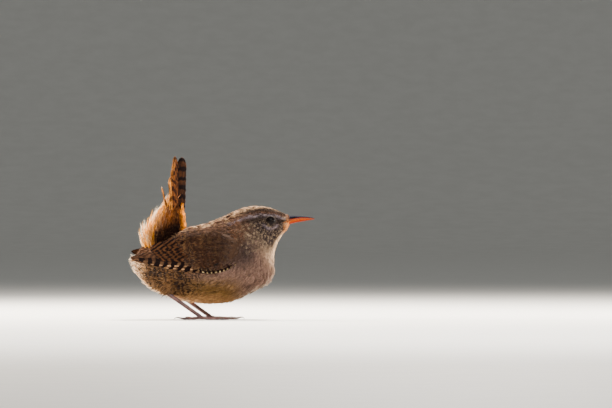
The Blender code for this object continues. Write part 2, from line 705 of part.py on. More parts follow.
def make_claw(name, side, heading, toe_length, length, finish):
    """A curved claw that starts face to face with its toe and comes down to just over the floor."""
    ahead = toe_direction(side, heading)
    root = np.array((FOOT_X[side] + TOE_START_X, side * FOOT_SPREAD, 0.0)) + ahead * (toe_length + GAP + 0.08)
    steps = 5
    path, radii = [], []
    for s in range(steps + 1):
        t = s / steps
        rise = TOE_AXIS_Z + 0.5 * math.sin(math.pi * t**1.5) - 0.33 * t * t
        path.append(root + ahead * length * (t - 0.12 * t * t) + np.array((0.0, 0.0, rise)))
        radii.append(0.4 * (1 - t) ** 0.75 + 0.05)
    return tube(name, path, radii, 6, finish, flatten=0.8)


def bill_ring(x, edge, ridge, half_width, sides=7):
    """Half of a bill's section: a rounded side towards the ridge and a flat side along the mouth."""
    ring = []
    for k in range(sides + 1):
        turn = math.pi * k / sides
        rise = math.sin(turn) ** 0.85
        ring.append(np.array((x, half_width * math.cos(turn), edge + (ridge - edge) * rise)))
    return ring


def make_bill(finish_upper, finish_lower):
    """Both mandibles, parted by half the gap each along the mouth; the lower one is a little shorter."""
    steps = 10
    rows = [spline(BILL, (len(BILL) - 1) * s / steps) for s in range(steps + 1)]
    parting = [GAP / 2 * (1 - 0.3 * s / steps) for s in range(steps + 1)]
    upper_rings, lower_rings = [], []
    for (x, top, mouth, low, half_width), part in zip(rows, parting):
        upper_rings.append(bill_ring(x, mouth + part, top, half_width))
        lower_rings.append(bill_ring(x, mouth - part, low, half_width * LOWER_BILL_SHARE))
    upper = loft("bill_upper", upper_rings, finish_upper)
    lower = loft("bill_lower", lower_rings[:-1], finish_lower)
    nostrils = []
    for side in (RIGHT, LEFT):
        path = [(x, side * y, z) for x, y, z in NOSTRIL_PATH]
        nostrils.append(tube(f"nostril_{side:.0f}", path, NOSTRIL_RADII, 8))
    boolean(upper, "DIFFERENCE", nostrils)
    return upper, lower


def ball(name, centre, radius, finish=None, segments=16, rings=9):
    """A round solid whose pole points sideways, along Y."""
    made = []
    for r in range(1, rings):
        polar = math.pi * r / rings
        ring = []
        for k in range(segments):
            turn = math.tau * k / segments
            spot = (math.sin(polar) * math.cos(turn), math.cos(polar), math.sin(polar) * math.sin(turn))
            ring.append(np.array(centre) + radius * np.array(spot))
        made.append(ring)
    points, faces = skin_rings(made)
    for hub, pole in ((len(points) - 2, 1.0), (len(points) - 1, -1.0)):
        points[hub] = tuple(np.array(centre) + np.array((0.0, pole * radius, 0.0)))
    return new_object(name, points, faces, finish)


def lid_ring(name, side):
    """The eyelids: a raised rim round the eye, drawn out a little before and behind it."""
    around, sides = 20, 6
    centre = np.array((EYE_CENTRE[0], side * (EYE_CENTRE[1] + 1.12), EYE_CENTRE[2]))
    points, faces = [], []
    for k in range(around):
        turn = math.tau * k / around
        stretch = 1.0 + 0.12 * math.cos(turn) ** 4
        out = np.array((math.cos(turn), 0.0, math.sin(turn)))
        forward_lean = -0.13 * math.cos(turn) - 0.05 * math.sin(turn)
        middle = centre + out * LID_RADIUS * stretch + np.array((0.0, side * forward_lean * LID_RADIUS, 0.0))
        for s in range(sides):
            a = math.tau * s / sides
            points.append(middle + LID_THICK * (math.cos(a) * out + math.sin(a) * np.array((0.0, side, 0.0))))
    for k in range(around):
        for s in range(sides):
            a, b = k * sides + s, k * sides + (s + 1) % sides
            c, d = ((k + 1) % around) * sides + s, ((k + 1) % around) * sides + (s + 1) % sides
            faces += [(a, b, d), (a, d, c)]
    return new_object(name, points, faces)


def mouth_slit():
    """A thin slab along the line of the mouth, from the bill's base back into the face."""
    points = []
    for x, z in (MOUTH_FRONT, MOUTH_CORNER):
        for y in (-8.0, 8.0):
            for half in (-GAP / 2, GAP / 2):
                points.append((x, y, z + half))
    faces = [(0, 1, 3, 2), (4, 6, 7, 5), (0, 4, 5, 1), (2, 3, 7, 6), (0, 2, 6, 4), (1, 5, 7, 3)]
    return new_object("mouth_slit", points, faces)


def make_head(finish):
    head = body_length("head", 0.0, HEAD_END - section_gap(HEAD_END), None)
    boolean(head, "UNION", [lid_ring(f"lids_{side:.0f}", side) for side in (RIGHT, LEFT)], solver="MANIFOLD")
    sockets = []
    for side in (RIGHT, LEFT):
        centre = (EYE_CENTRE[0], side * EYE_CENTRE[1], EYE_CENTRE[2])
        sockets.append(ball(f"socket_{side:.0f}", centre, EYE_RADIUS + GAP))
    boolean(head, "DIFFERENCE", sockets + [mouth_slit()], solver="MANIFOLD")
    head.data.materials.clear()
    head.data.materials.append(finish)
    return head


def make_torso(finish):
    """The trunk, hollowed a little where the folded wings and the thighs lie in its plumage."""
    start = NECK_END + section_gap(NECK_END)
    torso = body_length("torso", start, len(SECTIONS) - 1.0, None)
    cutters = []
    for side in (RIGHT, LEFT):
        cutters.append(wing_room(side))
        cutters.append(make_thigh(f"thigh_room_{side:.0f}", side, GAP, None))
        cutters.append(shank_room(side))
    boolean(torso, "DIFFERENCE", cutters, solver="MANIFOLD")
    point, normal = rump_plane()
    keep_side(torso, point - normal * GAP / 2, -normal)
    torso.data.materials.clear()
    torso.data.materials.append(finish)
    return torso


def main():
    clear_scene()
    plumage = material("plumage", (0.17, 0.10, 0.055), 0.85)
    pale = material("pale_plumage", (0.24, 0.16, 0.10), 0.88)
    barred = material("barred_wing", (0.14, 0.075, 0.035), 0.75)
    rusty = material("rusty_tail", (0.24, 0.10, 0.035), 0.75)
    horn = material("dark_horn", (0.045, 0.035, 0.035), 0.35)
    light_horn = material("light_horn", (0.42, 0.20, 0.07), 0.4)
    leg = material("leg_skin", (0.22, 0.13, 0.10), 0.5)
    claw = material("claw_horn", (0.12, 0.08, 0.06), 0.4)
    eye = material("dark_eye", (0.008, 0.006, 0.006), 0.05)

    make_head(plumage)
    body_length("neck", HEAD_END + section_gap(HEAD_END), NECK_END - section_gap(NECK_END), pale)
    make_torso(plumage)
    make_tail(rusty)
    make_bill(horn, light_horn)
    for side, label in ((RIGHT, "right"), (LEFT, "left")):
        ball(f"eye_{label}", (EYE_CENTRE[0], side * EYE_CENTRE[1], EYE_CENTRE[2]), EYE_RADIUS, eye)
        wing(f"wing_{label}", side, barred)
        make_thigh(f"thigh_{label}", side, 0.0, pale)
        make_tarsus(f"tarsus_{label}", side, leg)
        make_foot(f"foot_{label}", side, leg)
        for toe, heading, toe_length, length in TOES:
            make_claw(f"claw_{toe}_{label}", side, heading, toe_length, length, claw)


main()
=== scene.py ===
"""A standing wren as a still, life-size model: skin, feathers, bill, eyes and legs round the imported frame."""

import math
from itertools import product

import bpy
import numpy as np
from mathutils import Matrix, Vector


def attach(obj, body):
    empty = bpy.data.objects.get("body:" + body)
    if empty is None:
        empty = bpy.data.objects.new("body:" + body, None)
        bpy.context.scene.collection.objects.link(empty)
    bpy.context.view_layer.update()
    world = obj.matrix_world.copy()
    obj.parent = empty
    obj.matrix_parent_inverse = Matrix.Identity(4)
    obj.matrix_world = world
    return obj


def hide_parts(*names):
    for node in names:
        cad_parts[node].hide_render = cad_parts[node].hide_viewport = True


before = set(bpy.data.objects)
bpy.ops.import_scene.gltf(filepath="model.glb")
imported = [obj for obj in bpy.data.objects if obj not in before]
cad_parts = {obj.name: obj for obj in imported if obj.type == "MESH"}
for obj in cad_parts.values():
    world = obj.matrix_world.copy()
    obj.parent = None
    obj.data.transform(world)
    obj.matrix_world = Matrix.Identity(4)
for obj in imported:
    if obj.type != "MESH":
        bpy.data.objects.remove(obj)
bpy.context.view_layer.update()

MM = 0.001
RIGHT, LEFT = -1.0, 1.0
SIDES = ((RIGHT, "right"), (LEFT, "left"))
DOWN, FORWARD, UP = np.array((0.0, 0.0, -1.0)), np.array((1.0, 0.0, 0.0)), np.array((0.0, 0.0, 1.0))
rng = np.random.default_rng(4115)

# Sizes in millimetres, shared with the solids

# Sections from the bill back: top X and Z, bottom X and Z, half width, and how pear shaped.
SECTIONS = np.array((
    (25.4, 40.3, 25.6, 36.7, 1.7, 0.00),
    (24.3, 41.2, 24.9, 35.0, 3.3, 0.00),
    (22.6, 42.1, 23.5, 33.4, 4.9, 0.02),
    (19.5, 43.4, 22.1, 31.1, 6.6, 0.04),
    (16.0, 44.2, 20.9, 28.6, 7.7, 0.06),
    (12.2, 44.4, 20.1, 25.4, 8.9, 0.10),
    (8.5, 43.9, 19.9, 21.6, 10.4, 0.12),
    (4.8, 42.7, 19.7, 17.9, 11.9, 0.14),
    (1.2, 41.1, 18.0, 14.5, 13.3, 0.14),
    (-2.5, 39.5, 14.2, 11.9, 14.3, 0.14),
    (-6.1, 38.1, 9.0, 9.2, 14.9, 0.14),
    (-9.8, 37.1, 3.0, 6.9, 15.0, 0.14),
    (-13.5, 36.3, -3.5, 6.1, 14.6, 0.12),
    (-18.0, 35.3, -10.0, 6.5, 13.6, 0.10),
    (-22.5, 34.0, -16.1, 7.6, 12.0, 0.08),
    (-26.4, 32.0, -22.0, 9.5, 9.9, 0.06),
    (-29.6, 29.4, -27.0, 12.2, 7.2, 0.04),
    (-31.6, 26.4, -30.4, 16.4, 4.4, 0.00),
    (-32.5, 23.6, -32.2, 20.2, 1.6, 0.00),
))
LAST = len(SECTIONS) - 1.0
# The tail's root from the rump up: front X and Z, back X and Z, half width, and no pear shape.
TAIL_ROOT = np.array((
    (-15.5, 29.0, -30.0, 23.5, 6.8, 0.0),
    (-14.3, 34.0, -31.2, 29.0, 7.4, 0.0),
    (-14.0, 37.5, -29.5, 34.8, 6.6, 0.0),
    (-14.3, 41.0, -26.6, 39.4, 5.4, 0.0),
    (-14.7, 44.5, -23.6, 43.6, 4.2, 0.0),
    (-15.4, 47.5, -21.4, 47.2, 3.0, 0.0),
    (-16.2, 49.6, -19.8, 49.5, 1.8, 0.0),
))
# The tail feathers' tips from the middle pair out: X, Z and how far from the middle.
TAIL_TIPS = (
    (-15.9, 63.3, 1.2),
    (-18.6, 63.6, 2.9),
    (-18.9, 61.6, 4.2),
    (-19.3, 58.8, 5.3),
    (-20.0, 55.5, 6.2),
    (-23.6, 51.7, 6.9),
)
# The surface under a folded wing: X, middle height, half height and half width.
WING_BED = np.array((
    (10.0, 27.0, 15.6, 9.6),
    (4.0, 25.5, 16.2, 12.0),
    (-2.0, 24.4, 16.2, 13.0),
    (-8.0, 23.8, 15.8, 13.1),
    (-14.0, 23.6, 15.0, 12.5),
    (-20.0, 24.0, 14.2, 11.3),
    (-26.0, 24.5, 13.4, 9.3),
    (-32.0, 24.6, 12.6, 6.9),
    (-38.0, 24.6, 12.0, 4.7),
))
# The folded wing seen from the side: X, lower edge and upper edge.
WING_OUTLINE = np.array((
    (8.0, 25.6, 28.6),
    (5.5, 21.6, 32.4),
    (0.0, 17.9, 35.2),
    (-6.0, 17.0, 35.8),
    (-12.0, 18.2, 35.0),
    (-18.0, 19.2, 33.4),
    (-24.0, 19.9, 31.0),
    (-30.0, 21.4, 28.4),
    (-36.7, 23.2, 24.8),
))
WING_PIVOT = (4.0, 25.0)
# Degrees by which each folded wing is raised about its pivot.
WING_LIFT = {RIGHT: 0.0, LEFT: 3.5}
EYE = np.array((18.6, 5.55, 38.4))
EYE_RADIUS = 2.1
# The bill: X, top, line of the mouth, underside and half width.
BILL = np.array((
    (25.9, 40.3, 38.40, 36.90, 1.75),
    (27.5, 40.45, 38.85, 37.45, 1.50),
    (29.2, 40.45, 39.25, 37.90, 1.22),
    (31.2, 40.38, 39.50, 38.30, 0.92),
    (33.2, 40.15, 39.50, 38.70, 0.62),
    (34.8, 39.80, 39.38, 38.98, 0.38),
    (35.9, 39.40, 39.22, 39.10, 0.14),
))
ANKLE_Z, ANKLE_SPREAD, FOOT_SPREAD = 11.4, 6.8, 6.2
TARSUS_RUN, TARSUS_FOOT_Z = 14.3, 1.25
FOOT_X = {RIGHT: -8.7, LEFT: -5.2}
KNEE_OFFSET = (11.5, 4.2)
# The toes: name, heading in degrees from straight ahead outwards, length and length of the claw.
TOES = (
    ("hind", 176.0, 6.8, 4.2),
    ("inner", -27.0, 7.0, 2.6),
    ("middle", 3.0, 10.6, 3.0),
    ("outer", 30.0, 8.2, 2.6),
)
TOE_RADIUS = 0.47

# Colours as light reflected, red green blue

CROWN, CROWN_DARK = (0.120, 0.055, 0.030), (0.014, 0.007, 0.005)
# The last colour on the next line is painted rim light: the pale lit edge along the top of the head and back.
BROW, PALE_SPECK, PAINTED_RIM_LIGHT = (0.175, 0.135, 0.150), (0.215, 0.152, 0.100), (0.72, 0.45, 0.25)
CHEEK, NECK_SIDE = (0.019, 0.0120, 0.0120), (0.029, 0.0195, 0.020)
THROAT, BREAST, CHIN = (0.62, 0.41, 0.24), (0.156, 0.090, 0.068), (0.48, 0.16, 0.03)
BELLY, LOWER_BELLY = (0.125, 0.065, 0.018), (0.41, 0.210, 0.082)
FLANK, BAR_DARK = (0.054, 0.0235, 0.0085), (0.008, 0.004, 0.003)
BACK, RUMP = (0.112, 0.052, 0.029), (0.075, 0.030, 0.013)
FRINGE, WHITE_TIP = (0.130, 0.070, 0.026), (0.92, 0.80, 0.62)
WING_BROWN, TERTIAL, PRIMARY = (0.030, 0.0135, 0.0075), (0.054, 0.0215, 0.0085), (0.064, 0.030, 0.016)
CHECKER, BLACKISH = (0.34, 0.190, 0.100), (0.004, 0.002, 0.002)
# The first colour on the next line is the tail's brown painted in shade; the last is the undertail's rufous,
# brightened with painted backlit glow.
TAIL_IN_SHADE, RUST, UNDERTAIL = (0.038, 0.014, 0.0055), (0.14, 0.042, 0.009), (0.84, 0.31, 0.024)
# The next colour is a painted backlit glow: the orange of light shining through the front uppertail coverts.
BACKLIT_GLOW = (0.80, 0.25, 0.010)
BAR_PERIOD = 2.0

# Node materials


class Nodes:
    """Short names for building one material's node tree."""

    def __init__(self, name, roughness, specular, **shader_inputs):
        self.material = bpy.data.materials.new(name)
        self.material.use_nodes = True
        self.tree = self.material.node_tree
        self.shader = self.tree.nodes["Principled BSDF"]
        shader_inputs.update(roughness=roughness, specular_IOR_level=specular)
        for socket in self.shader.inputs:
            key = socket.name.lower().replace(" ", "_").replace("ior", "IOR")
            if key in shader_inputs:
                socket.default_value = shader_inputs[key]

    def put(self, socket, value):
        if isinstance(value, bpy.types.NodeSocket):
            self.tree.links.new(value, socket)
        elif isinstance(value, tuple) and len(value) == 3 and socket.type == "RGBA":
            socket.default_value = (*value, 1.0)
        else:
            socket.default_value = value

    def node(self, kind, values, **settings):
        """A new node with its settings, and its inputs by name or number."""
        node = self.tree.nodes.new("ShaderNode" + kind)
        for name, setting in settings.items():
            setattr(node, name, setting)
        for key, value in values.items():
            self.put(node.inputs[key], value)
        return node

    def math(self, operation, *values):
        return self.node("Math", dict(enumerate(values)), operation=operation).outputs[0]

    def times(self, result, *others):
        for other in others:
            result = self.math("MULTIPLY", result, other)
        return result

    def plus(self, result, *others):
        for other in others:
            result = self.math("ADD", result, other)
        return result

    def minus(self, a, b):
        return self.math("SUBTRACT", a, b)

    def mix(self, share, a, b):
        return self.node("Mix", {0: share, 6: a, 7: b}, data_type="RGBA").outputs[2]

    def attribute(self, name, output="Fac"):
        return self.node("Attribute", {}, attribute_name=name).outputs[output]

    def noise(self, scale, detail=3.0, vector=None):
        vector = vector or self.node("TexCoord", {}).outputs["Object"]
        return self.node("TexNoise", {"Scale": scale, "Detail": detail, "Vector": vector}).outputs["Fac"]

    def vector(self, x, y):
        return self.node("CombineXYZ", {0: x, 1: y}).outputs[0]

    def smooth(self, value, low, high):
        inputs = {"Value": value, "From Min": low, "From Max": high}
        return self.node("MapRange", inputs, interpolation_type="SMOOTHSTEP").outputs["Result"]

    def bump(self, height, strength, distance):
        node = self.node("Bump", {"Strength": strength, "Distance": distance, "Height": height})
        self.put(self.shader.inputs["Normal"], node.outputs["Normal"])

    def patchy(self, noise, low, high, darkening, tint):
        """The tint, darkened where the noise is low."""
        return self.mix(self.smooth(noise, low, high), self.mix(darkening, tint, BAR_DARK), tint)

    def colour(self, value):
        self.put(self.shader.inputs["Base Color"], value)
        return self.material


def two_tone(name, roughness, specular, scale, dark, light, edges=None, detail=3.0, bump=None, **inputs):
    """A material that wavers between two colours, more sharply where edges are given."""
    n = Nodes(name, roughness, specular, **inputs)
    noise = n.noise(scale, detail)
    if bump:
        n.bump(noise, *bump)
    return n.colour(n.mix(n.smooth(noise, *edges) if edges else noise, dark, light))


def with_markings(n):
    """The tint crossed by the coat's own bars and specks, placed by lie and turn in millimetres."""
    lie, turn, bars, specks = (n.attribute(name) for name in MARKS)
    warp = n.times(n.noise(0.42, 2.0, n.vector(lie, turn)), 5.2)
    wave = n.math("SINE", n.times(n.plus(lie, warp), math.tau / BAR_PERIOD))
    broken = n.smooth(n.noise(0.74, 2.0, n.vector(n.times(lie, 0.6), turn)), 0.36, 0.50)
    fleck = n.noise(1.25, 2.0, n.vector(n.times(lie, 0.75), n.times(turn, 0.7)))
    tint = n.attribute("tint", "Color")
    for share, colour in (
        (n.times(n.smooth(n.times(wave, -1.0), 0.35, 0.95), bars, 0.45), FRINGE),
        (n.times(n.smooth(wave, -0.15, 0.35), broken, bars, 0.93), BAR_DARK),
        (n.times(n.smooth(n.minus(1.0, fleck), 0.52, 0.59), specks, 0.8), BAR_DARK),
        (n.times(n.smooth(fleck, 0.535, 0.62), specks, 0.8), PALE_SPECK),
    ):
        tint = n.mix(share, tint, colour)
    return tint


def soft_feather(name, specular=0.035, sheen=0.02):
    """Loose body feathers: their own tint and markings, broken up a little, with a soft sheen."""
    n = Nodes(name, 0.75, specular, sheen_weight=sheen, sheen_roughness=0.45)
    return n.colour(n.patchy(n.noise(1100.0, 4.0), 0.30, 0.75, 0.30, with_markings(n)))


def skin_material():
    n = Nodes("skin_under_feathers", 0.9, 0.1)
    down = n.noise(1400.0, 5.0)
    n.bump(down, 0.6, 0.0002)
    return n.colour(n.patchy(down, 0.3, 0.7, 0.5, with_markings(n)))


def vane_feather(name, period, dark, tilt, duty=0.0, soft=0.22, web=None, web_from=-0.12, axis=0.0,
                 web_bars=1.0, streaks=0.0):
    """A firm feather: its tint crossed by dark bars, with fine barbs that run out from the shaft.

    The attribute along is in millimetres from the tip and across runs from -1 to 1 over the width.
    Where web is given, the lower web has that colour between the bars, as much as the attribute pale says.
    The bars bend at the shaft, which runs at axis.
    """
    n = Nodes(name, 0.72, 0.015)
    along, across, phase = (n.attribute(key) for key in ("along", "across", "phase"))
    base = n.attribute("tint", "Color")
    side = n.math("ABSOLUTE", n.minus(across, axis))
    wobble = n.times(n.minus(n.noise(500.0), 0.5), period * 0.85)
    place = n.plus(along, n.times(side, tilt), wobble, phase)
    wave = n.math("SINE", n.times(place, math.tau / period))
    bar = n.times(n.smooth(wave, duty - soft, duty + soft), n.attribute("barring"))
    if web is not None:
        lower = n.smooth(n.times(across, -1.0), -web_from - 0.10, -web_from + 0.10)
        uneven = n.smooth(n.noise(420.0, 2.0), 0.25, 0.62)
        share = n.times(lower, n.attribute("pale"))
        base = n.mix(n.times(share, uneven), base, web)
        bar = n.times(bar, n.minus(1.0, n.times(share, 1.0 - web_bars)))
    base = n.patchy(n.noise(900.0, 4.0), 0.32, 0.70, 0.35, base)
    if streaks:
        run = n.vector(n.times(across, 2.6), n.times(n.plus(along, phase), 0.22))
        base = n.mix(n.times(n.smooth(n.noise(1.0, 2.0, run), 0.46, 0.60), streaks), base, BAR_DARK)
    shaft = n.minus(1.0, n.smooth(side, 0.03, 0.09))
    coloured = n.mix(n.times(shaft, 0.5), n.mix(bar, base, dark), BAR_DARK)
    barbs = n.math("SINE", n.times(n.plus(along, n.times(side, 1.1)), 40.0))
    grain = n.plus(n.times(barbs, 0.45), n.noise(1600.0))
    n.bump(grain, 0.35, 0.00006)
    return n.colour(n.mix(n.times(n.smooth(grain, 0.2, 0.95), 0.28), coloured, BLACKISH))


# Meshes from arrays

MARKS = ("lie", "turn", "bars", "specks")


def add_piece(name, points, faces, material, slot, replaced=(), tints=None, floats=None, uv=None):
    """A smooth mesh piece from points in millimetres and triangles, which rides on the figure.

    The slot is not used.
    """
    mesh = bpy.data.meshes.new(name)
    points = np.asarray(points, np.float64).reshape(-1, 3)
    faces = np.asarray(faces, np.int32).reshape(-1, 3)
    mesh.vertices.add(len(points))
    mesh.vertices.foreach_set("co", (points * MM).astype(np.float32).ravel())
    mesh.loops.add(faces.size)
    mesh.loops.foreach_set("vertex_index", faces.ravel())
    mesh.polygons.add(len(faces))
    mesh.polygons.foreach_set("loop_start", np.arange(0, faces.size, 3, dtype=np.int32))
    mesh.update(calc_edges=True)
    mesh.validate()
    mesh.shade_smooth()
    if tints is not None:
        full = np.ones((len(points), 4), np.float32)
        full[:, :3] = np.asarray(tints).reshape(-1, 3)
        mesh.attributes.new("tint", "FLOAT_COLOR", "POINT").data.foreach_set("color", full.ravel())
    for key, values in (floats or {}).items():
        data = np.ascontiguousarray(np.asarray(values, np.float32).ravel())
        mesh.attributes.new(key, "FLOAT", "POINT").data.foreach_set("value", data)
    if uv is not None:
        corners = np.asarray(uv, np.float32).reshape(-1, 2)[faces.ravel()]
        mesh.uv_layers.new(name="OFBake").data.foreach_set("uv", corners.ravel())
    mesh.materials.append(material)
    made = bpy.data.objects.new(name, mesh)
    bpy.context.scene.collection.objects.link(made)
    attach(made, "root")
    if replaced:
        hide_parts(*replaced)


def unit(v):
    return v / np.maximum(np.linalg.norm(v, axis=-1, keepdims=True), 1e-9)


def across_of(v, out):
    """Unit directions made square to the directions out."""
    return unit(v - out * np.sum(v * out, -1, keepdims=True))


def turns(count):
    return math.tau * np.arange(count) / count


def table_at(table, place):
    """Smooth rows of a table at an array of fractional row numbers."""
    place = np.asarray(place, float)
    last = len(table) - 1
    i = np.clip(np.floor(place).astype(int), 0, last - 1)
    t = (place - i)[..., None]
    before, a = table[np.maximum(i - 1, 0)], table[i]
    b, after = table[i + 1], table[np.minimum(i + 2, last)]
    tangent_a, tangent_b = (b - before) / 2, (after - a) / 2
    return (
        (2 * t**3 - 3 * t**2 + 1) * a + (t**3 - 2 * t**2 + t) * tangent_a
        + (3 * t**2 - 2 * t**3) * b + (t**3 - t**2) * tangent_b
    )


def table_at_x(table, x):
    """Smooth rows of a table whose first column runs down, at an array of X."""
    x = np.asarray(x, float)
    i = np.clip(np.searchsorted(-table[:, 0], -x) - 1, 0, len(table) - 2)
    share = (x - table[i, 0]) / (table[i + 1, 0] - table[i, 0])
    return table_at(table, i + np.clip(share, -0.5, 1.0))


def section_point(table, s, a, depth):
    """Points of a form given by sections, at row numbers s, angles a from the top and a depth."""
    s, a = np.broadcast_arrays(np.asarray(s, float), np.asarray(a, float))
    rows = table_at(table, s)
    zero = np.zeros_like(s)
    top = np.stack((rows[..., 0], zero, rows[..., 1]), -1)
    low = np.stack((rows[..., 2], zero, rows[..., 3]), -1)
    centre, up = (top + low) / 2, (top - low) / 2
    depth = np.broadcast_to(np.asarray(depth, float), s.shape)
    up = up * (1 - depth / np.linalg.norm(up, axis=-1))[..., None]
    across = (rows[..., 4] - depth) * np.sin(a) * (1 - rows[..., 5] * np.cos(a))
    return centre + up * np.cos(a)[..., None] + np.stack((zero, across, zero), -1)


def body_point(s, a, depth=0.0):
    """The body's surface at section numbers s and angles a from the top, towards the left."""
    return section_point(SECTIONS, s, a, depth)


def tail_root_point(s, a, depth=0.0):
    """The surface of the tail's root at row numbers s and angles a from the front, towards the left."""
    return section_point(TAIL_ROOT, s, a, depth)


def coat_depth(s):
    """How far the skin lies under the coat's surface: thin on the face, deep on the body."""
    return np.interp(s, (0.0, 2.0, 5.0, 8.0, 15.0, 18.0), (0.12, 0.45, 0.8, 1.25, 1.35, 0.7))


def surface_frame(surface, s, a, depth):
    """Points with the directions along (rising s) and out, on a surface function."""
    step = 0.02
    here = surface(s, a, depth)
    along = unit(surface(s + step, a, depth) - surface(s - step, a, depth))
    around = unit(surface(s, a + step, depth) - surface(s, a - step, depth))
    out = unit(np.cross(along, around))
    inside = surface(s, a, depth + 0.5)
    flip = np.sign(np.sum((here - inside) * out, -1, keepdims=True))
    return here, along, out * np.where(flip == 0, 1, flip)


def quads(a, b, c, d):
    """Two triangles for each quad, with a and b on one edge, and c and d opposite them."""
    return [np.stack((a, b, d), -1).reshape(-1, 3), np.stack((a, d, c), -1).reshape(-1, 3)]


def outward(points, faces):
    """The triangles of a closed solid, turned to face out."""
    p, q, w = (points[faces[:, m]] - points.mean(0) for m in range(3))
    return faces[:, ::-1] if np.sum(p * np.cross(q, w)) < 0 else faces


def loft_piece(name, rings, material, slot, replaced=(), plain=None, **extra):
    """A closed piece through an array of rings (count, around, 3).

    With plain it has that one colour, for a material with markings, and none of the markings.
    """
    rings = np.asarray(rings, float)
    count, around = rings.shape[:2]
    points = np.concatenate((rings.reshape(-1, 3), rings[0].mean(0)[None], rings[-1].mean(0)[None]))
    r, k = np.meshgrid(np.arange(count - 1), np.arange(around), indexing="ij")
    a, b = r * around + k, r * around + (k + 1) % around
    faces = quads(a, b, a + around, b + around)
    k, last, hub = np.arange(around), (count - 1) * around, np.full(around, count * around)
    faces.append(np.stack((hub, (k + 1) % around, k), -1))
    faces.append(np.stack((last + k, last + (k + 1) % around, hub + 1), -1))
    faces = outward(points, np.concatenate(faces))
    if plain is not None:
        zeros = np.zeros(len(points))
        extra = {"tints": np.full((len(points), 3), plain), "floats": {key: zeros for key in MARKS}}
    add_piece(name, points, faces, material, slot, replaced, **extra)


def tube_rings(path, radii, sides, flatten=1.0):
    """Rings round a path, made narrower sideways by flatten."""
    path = np.asarray(path, float)
    ahead = unit(np.gradient(path, axis=0))
    side = unit(np.cross(ahead, UP))[:, None]
    up = np.cross(side[:, 0], ahead)[:, None]
    turn = turns(sides)[None, :, None]
    ring = flatten * np.cos(turn) * side + np.sin(turn) * up
    return path[:, None] + np.asarray(radii)[:, None, None] * ring


# Loose feathers: each is a fan of thin tapered locks

LOCK_RINGS = np.array((0.0, 0.36, 0.72))
LOCK_WIDTHS = np.array((0.55, 1.0, 0.72))
LOCK_POINTS = 10


def lock_faces():
    """Triangles of one lock: three rings of three points, and the tip."""
    faces = []
    for ring, corner in product(range(2), range(3)):
        a, b = ring * 3 + corner, ring * 3 + (corner + 1) % 3
        faces += [(a, b, b + 3), (a, b + 3, a + 3)]
    return np.array(faces + [(6, 7, 9), (7, 8, 9), (8, 6, 9), (2, 1, 0)])


LOCK_FACES = lock_faces()


def lock_points(root, along, out, length, width, lift, curl, sway):
    """Many closed tapered locks at once, with how far each point is along and across from the root."""
    side = unit(np.cross(along, out))
    t = np.append(LOCK_RINGS, 1.0)
    reach = length[:, None] * t
    rise = length[:, None] * (lift[:, None] * t - curl * t**2)
    drift = length[:, None] * sway[:, None] * t**2
    centre = root[:, None] + along[:, None] * reach[..., None] + out[:, None] * rise[..., None]
    centre += side[:, None] * drift[..., None]
    half = width[:, None] / 2 * LOCK_WIDTHS
    step = side[:, None] * half[..., None]
    ridge = centre[:, :3] + out[:, None] * half[..., None] * 0.8
    body = np.stack((centre[:, :3] - step, centre[:, :3] + step, ridge), 2).reshape(-1, 9, 3)
    shift = np.stack((drift[:, :3] - half, drift[:, :3] + half, drift[:, :3]), 2).reshape(-1, 9)
    return (
        np.concatenate((body, centre[:, 3:]), 1),
        np.concatenate((np.repeat(reach[:, :3], 3, 1), reach[:, 3:]), 1),
        np.concatenate((shift, drift[:, 3:]), 1),
    )


def soft_piece(name, material, slot, here, along, out, size, rows, uv_root, lie, turn, bars=0.0, specks=0.0,
               run=1.0, locks=7, spread=1.0, lift=0.42, curl=0.24, loose=0.10, tone=0.12):
    """One piece of coat. At each place a feather is a fan of locks, with four colours from root to tip.

    A lock leaves the surface by lift and bends back by curl; loose scatters the locks, tone varies the
    brightness from feather to feather, and lie grows by run for each millimetre along a lock.
    """
    count = len(here)

    def column(values):
        return np.broadcast_to(np.asarray(values, float), (count,))[:, None]

    def each(values):
        return np.repeat(values[:, None], locks, 1).reshape(-1, values.shape[-1])

    side = unit(np.cross(along, out))
    j = np.linspace(-1, 1, locks)[None]
    loose = column(loose)
    feather_length, feather_width = size[:, :1], size[:, 1:]
    jig = rng.uniform(-1, 1, (6, count, locks))
    length = feather_length * (1 - 0.26 * j**2) * (1 + 0.13 * jig[0])
    width = feather_width / locks * 1.9 * (1 + 0.2 * jig[1])
    offset = feather_width * (0.32 * j + 0.05 * jig[2])
    sway = feather_width / feather_length * 0.36 * spread * j + loose * jig[3]
    rise = column(lift) * (1 - 0.18 * j**2) + loose * 0.8 * jig[4] + rng.normal(0, 0.035, (count, 1))
    root = here[:, None] + side[:, None] * offset[..., None]
    root = root - out[:, None] * (0.12 * feather_width * j**2)[..., None]
    points, reach, shift = lock_points(
        root.reshape(-1, 3), each(along), each(out), length.ravel(), width.ravel(), rise.ravel(), curl,
        sway.ravel(),
    )
    shade = 1 + 0.13 * jig[5] + rng.normal(0, tone, (count, 1))
    tints = np.clip(rows[:, None] * shade[..., None, None], 0.003, 1).reshape(-1, 4, 3)
    tints = np.concatenate((np.repeat(tints[:, :3], 3, axis=1), tints[:, 3:]), 1)
    faces = LOCK_FACES[None] + (np.arange(count * locks) * LOCK_POINTS)[:, None, None]
    u, v = np.tile((-0.5, 0.5, 0.0), 3), np.append(np.repeat(LOCK_RINGS, 3), 1.0)
    patch = 0.003
    corner = np.stack((np.append(u, 0.0) * patch, v * patch), -1)
    uv = (each(uv_root) * 0.985 + 0.006)[:, None] + corner[None]
    lie = column(lie) + rng.normal(0, 0.30, (count, 1))
    turn = column(turn) + rng.normal(0, 0.35, (count, 1))
    floats = (
        each(lie) + reach * each(column(run)), each(turn) + offset.reshape(-1, 1) + shift,
        each(column(bars)) + 0 * reach, each(column(specks)) + 0 * reach,
    )
    add_piece(name, points, faces, material, slot, tints=tints, floats=dict(zip(MARKS, floats)), uv=uv)


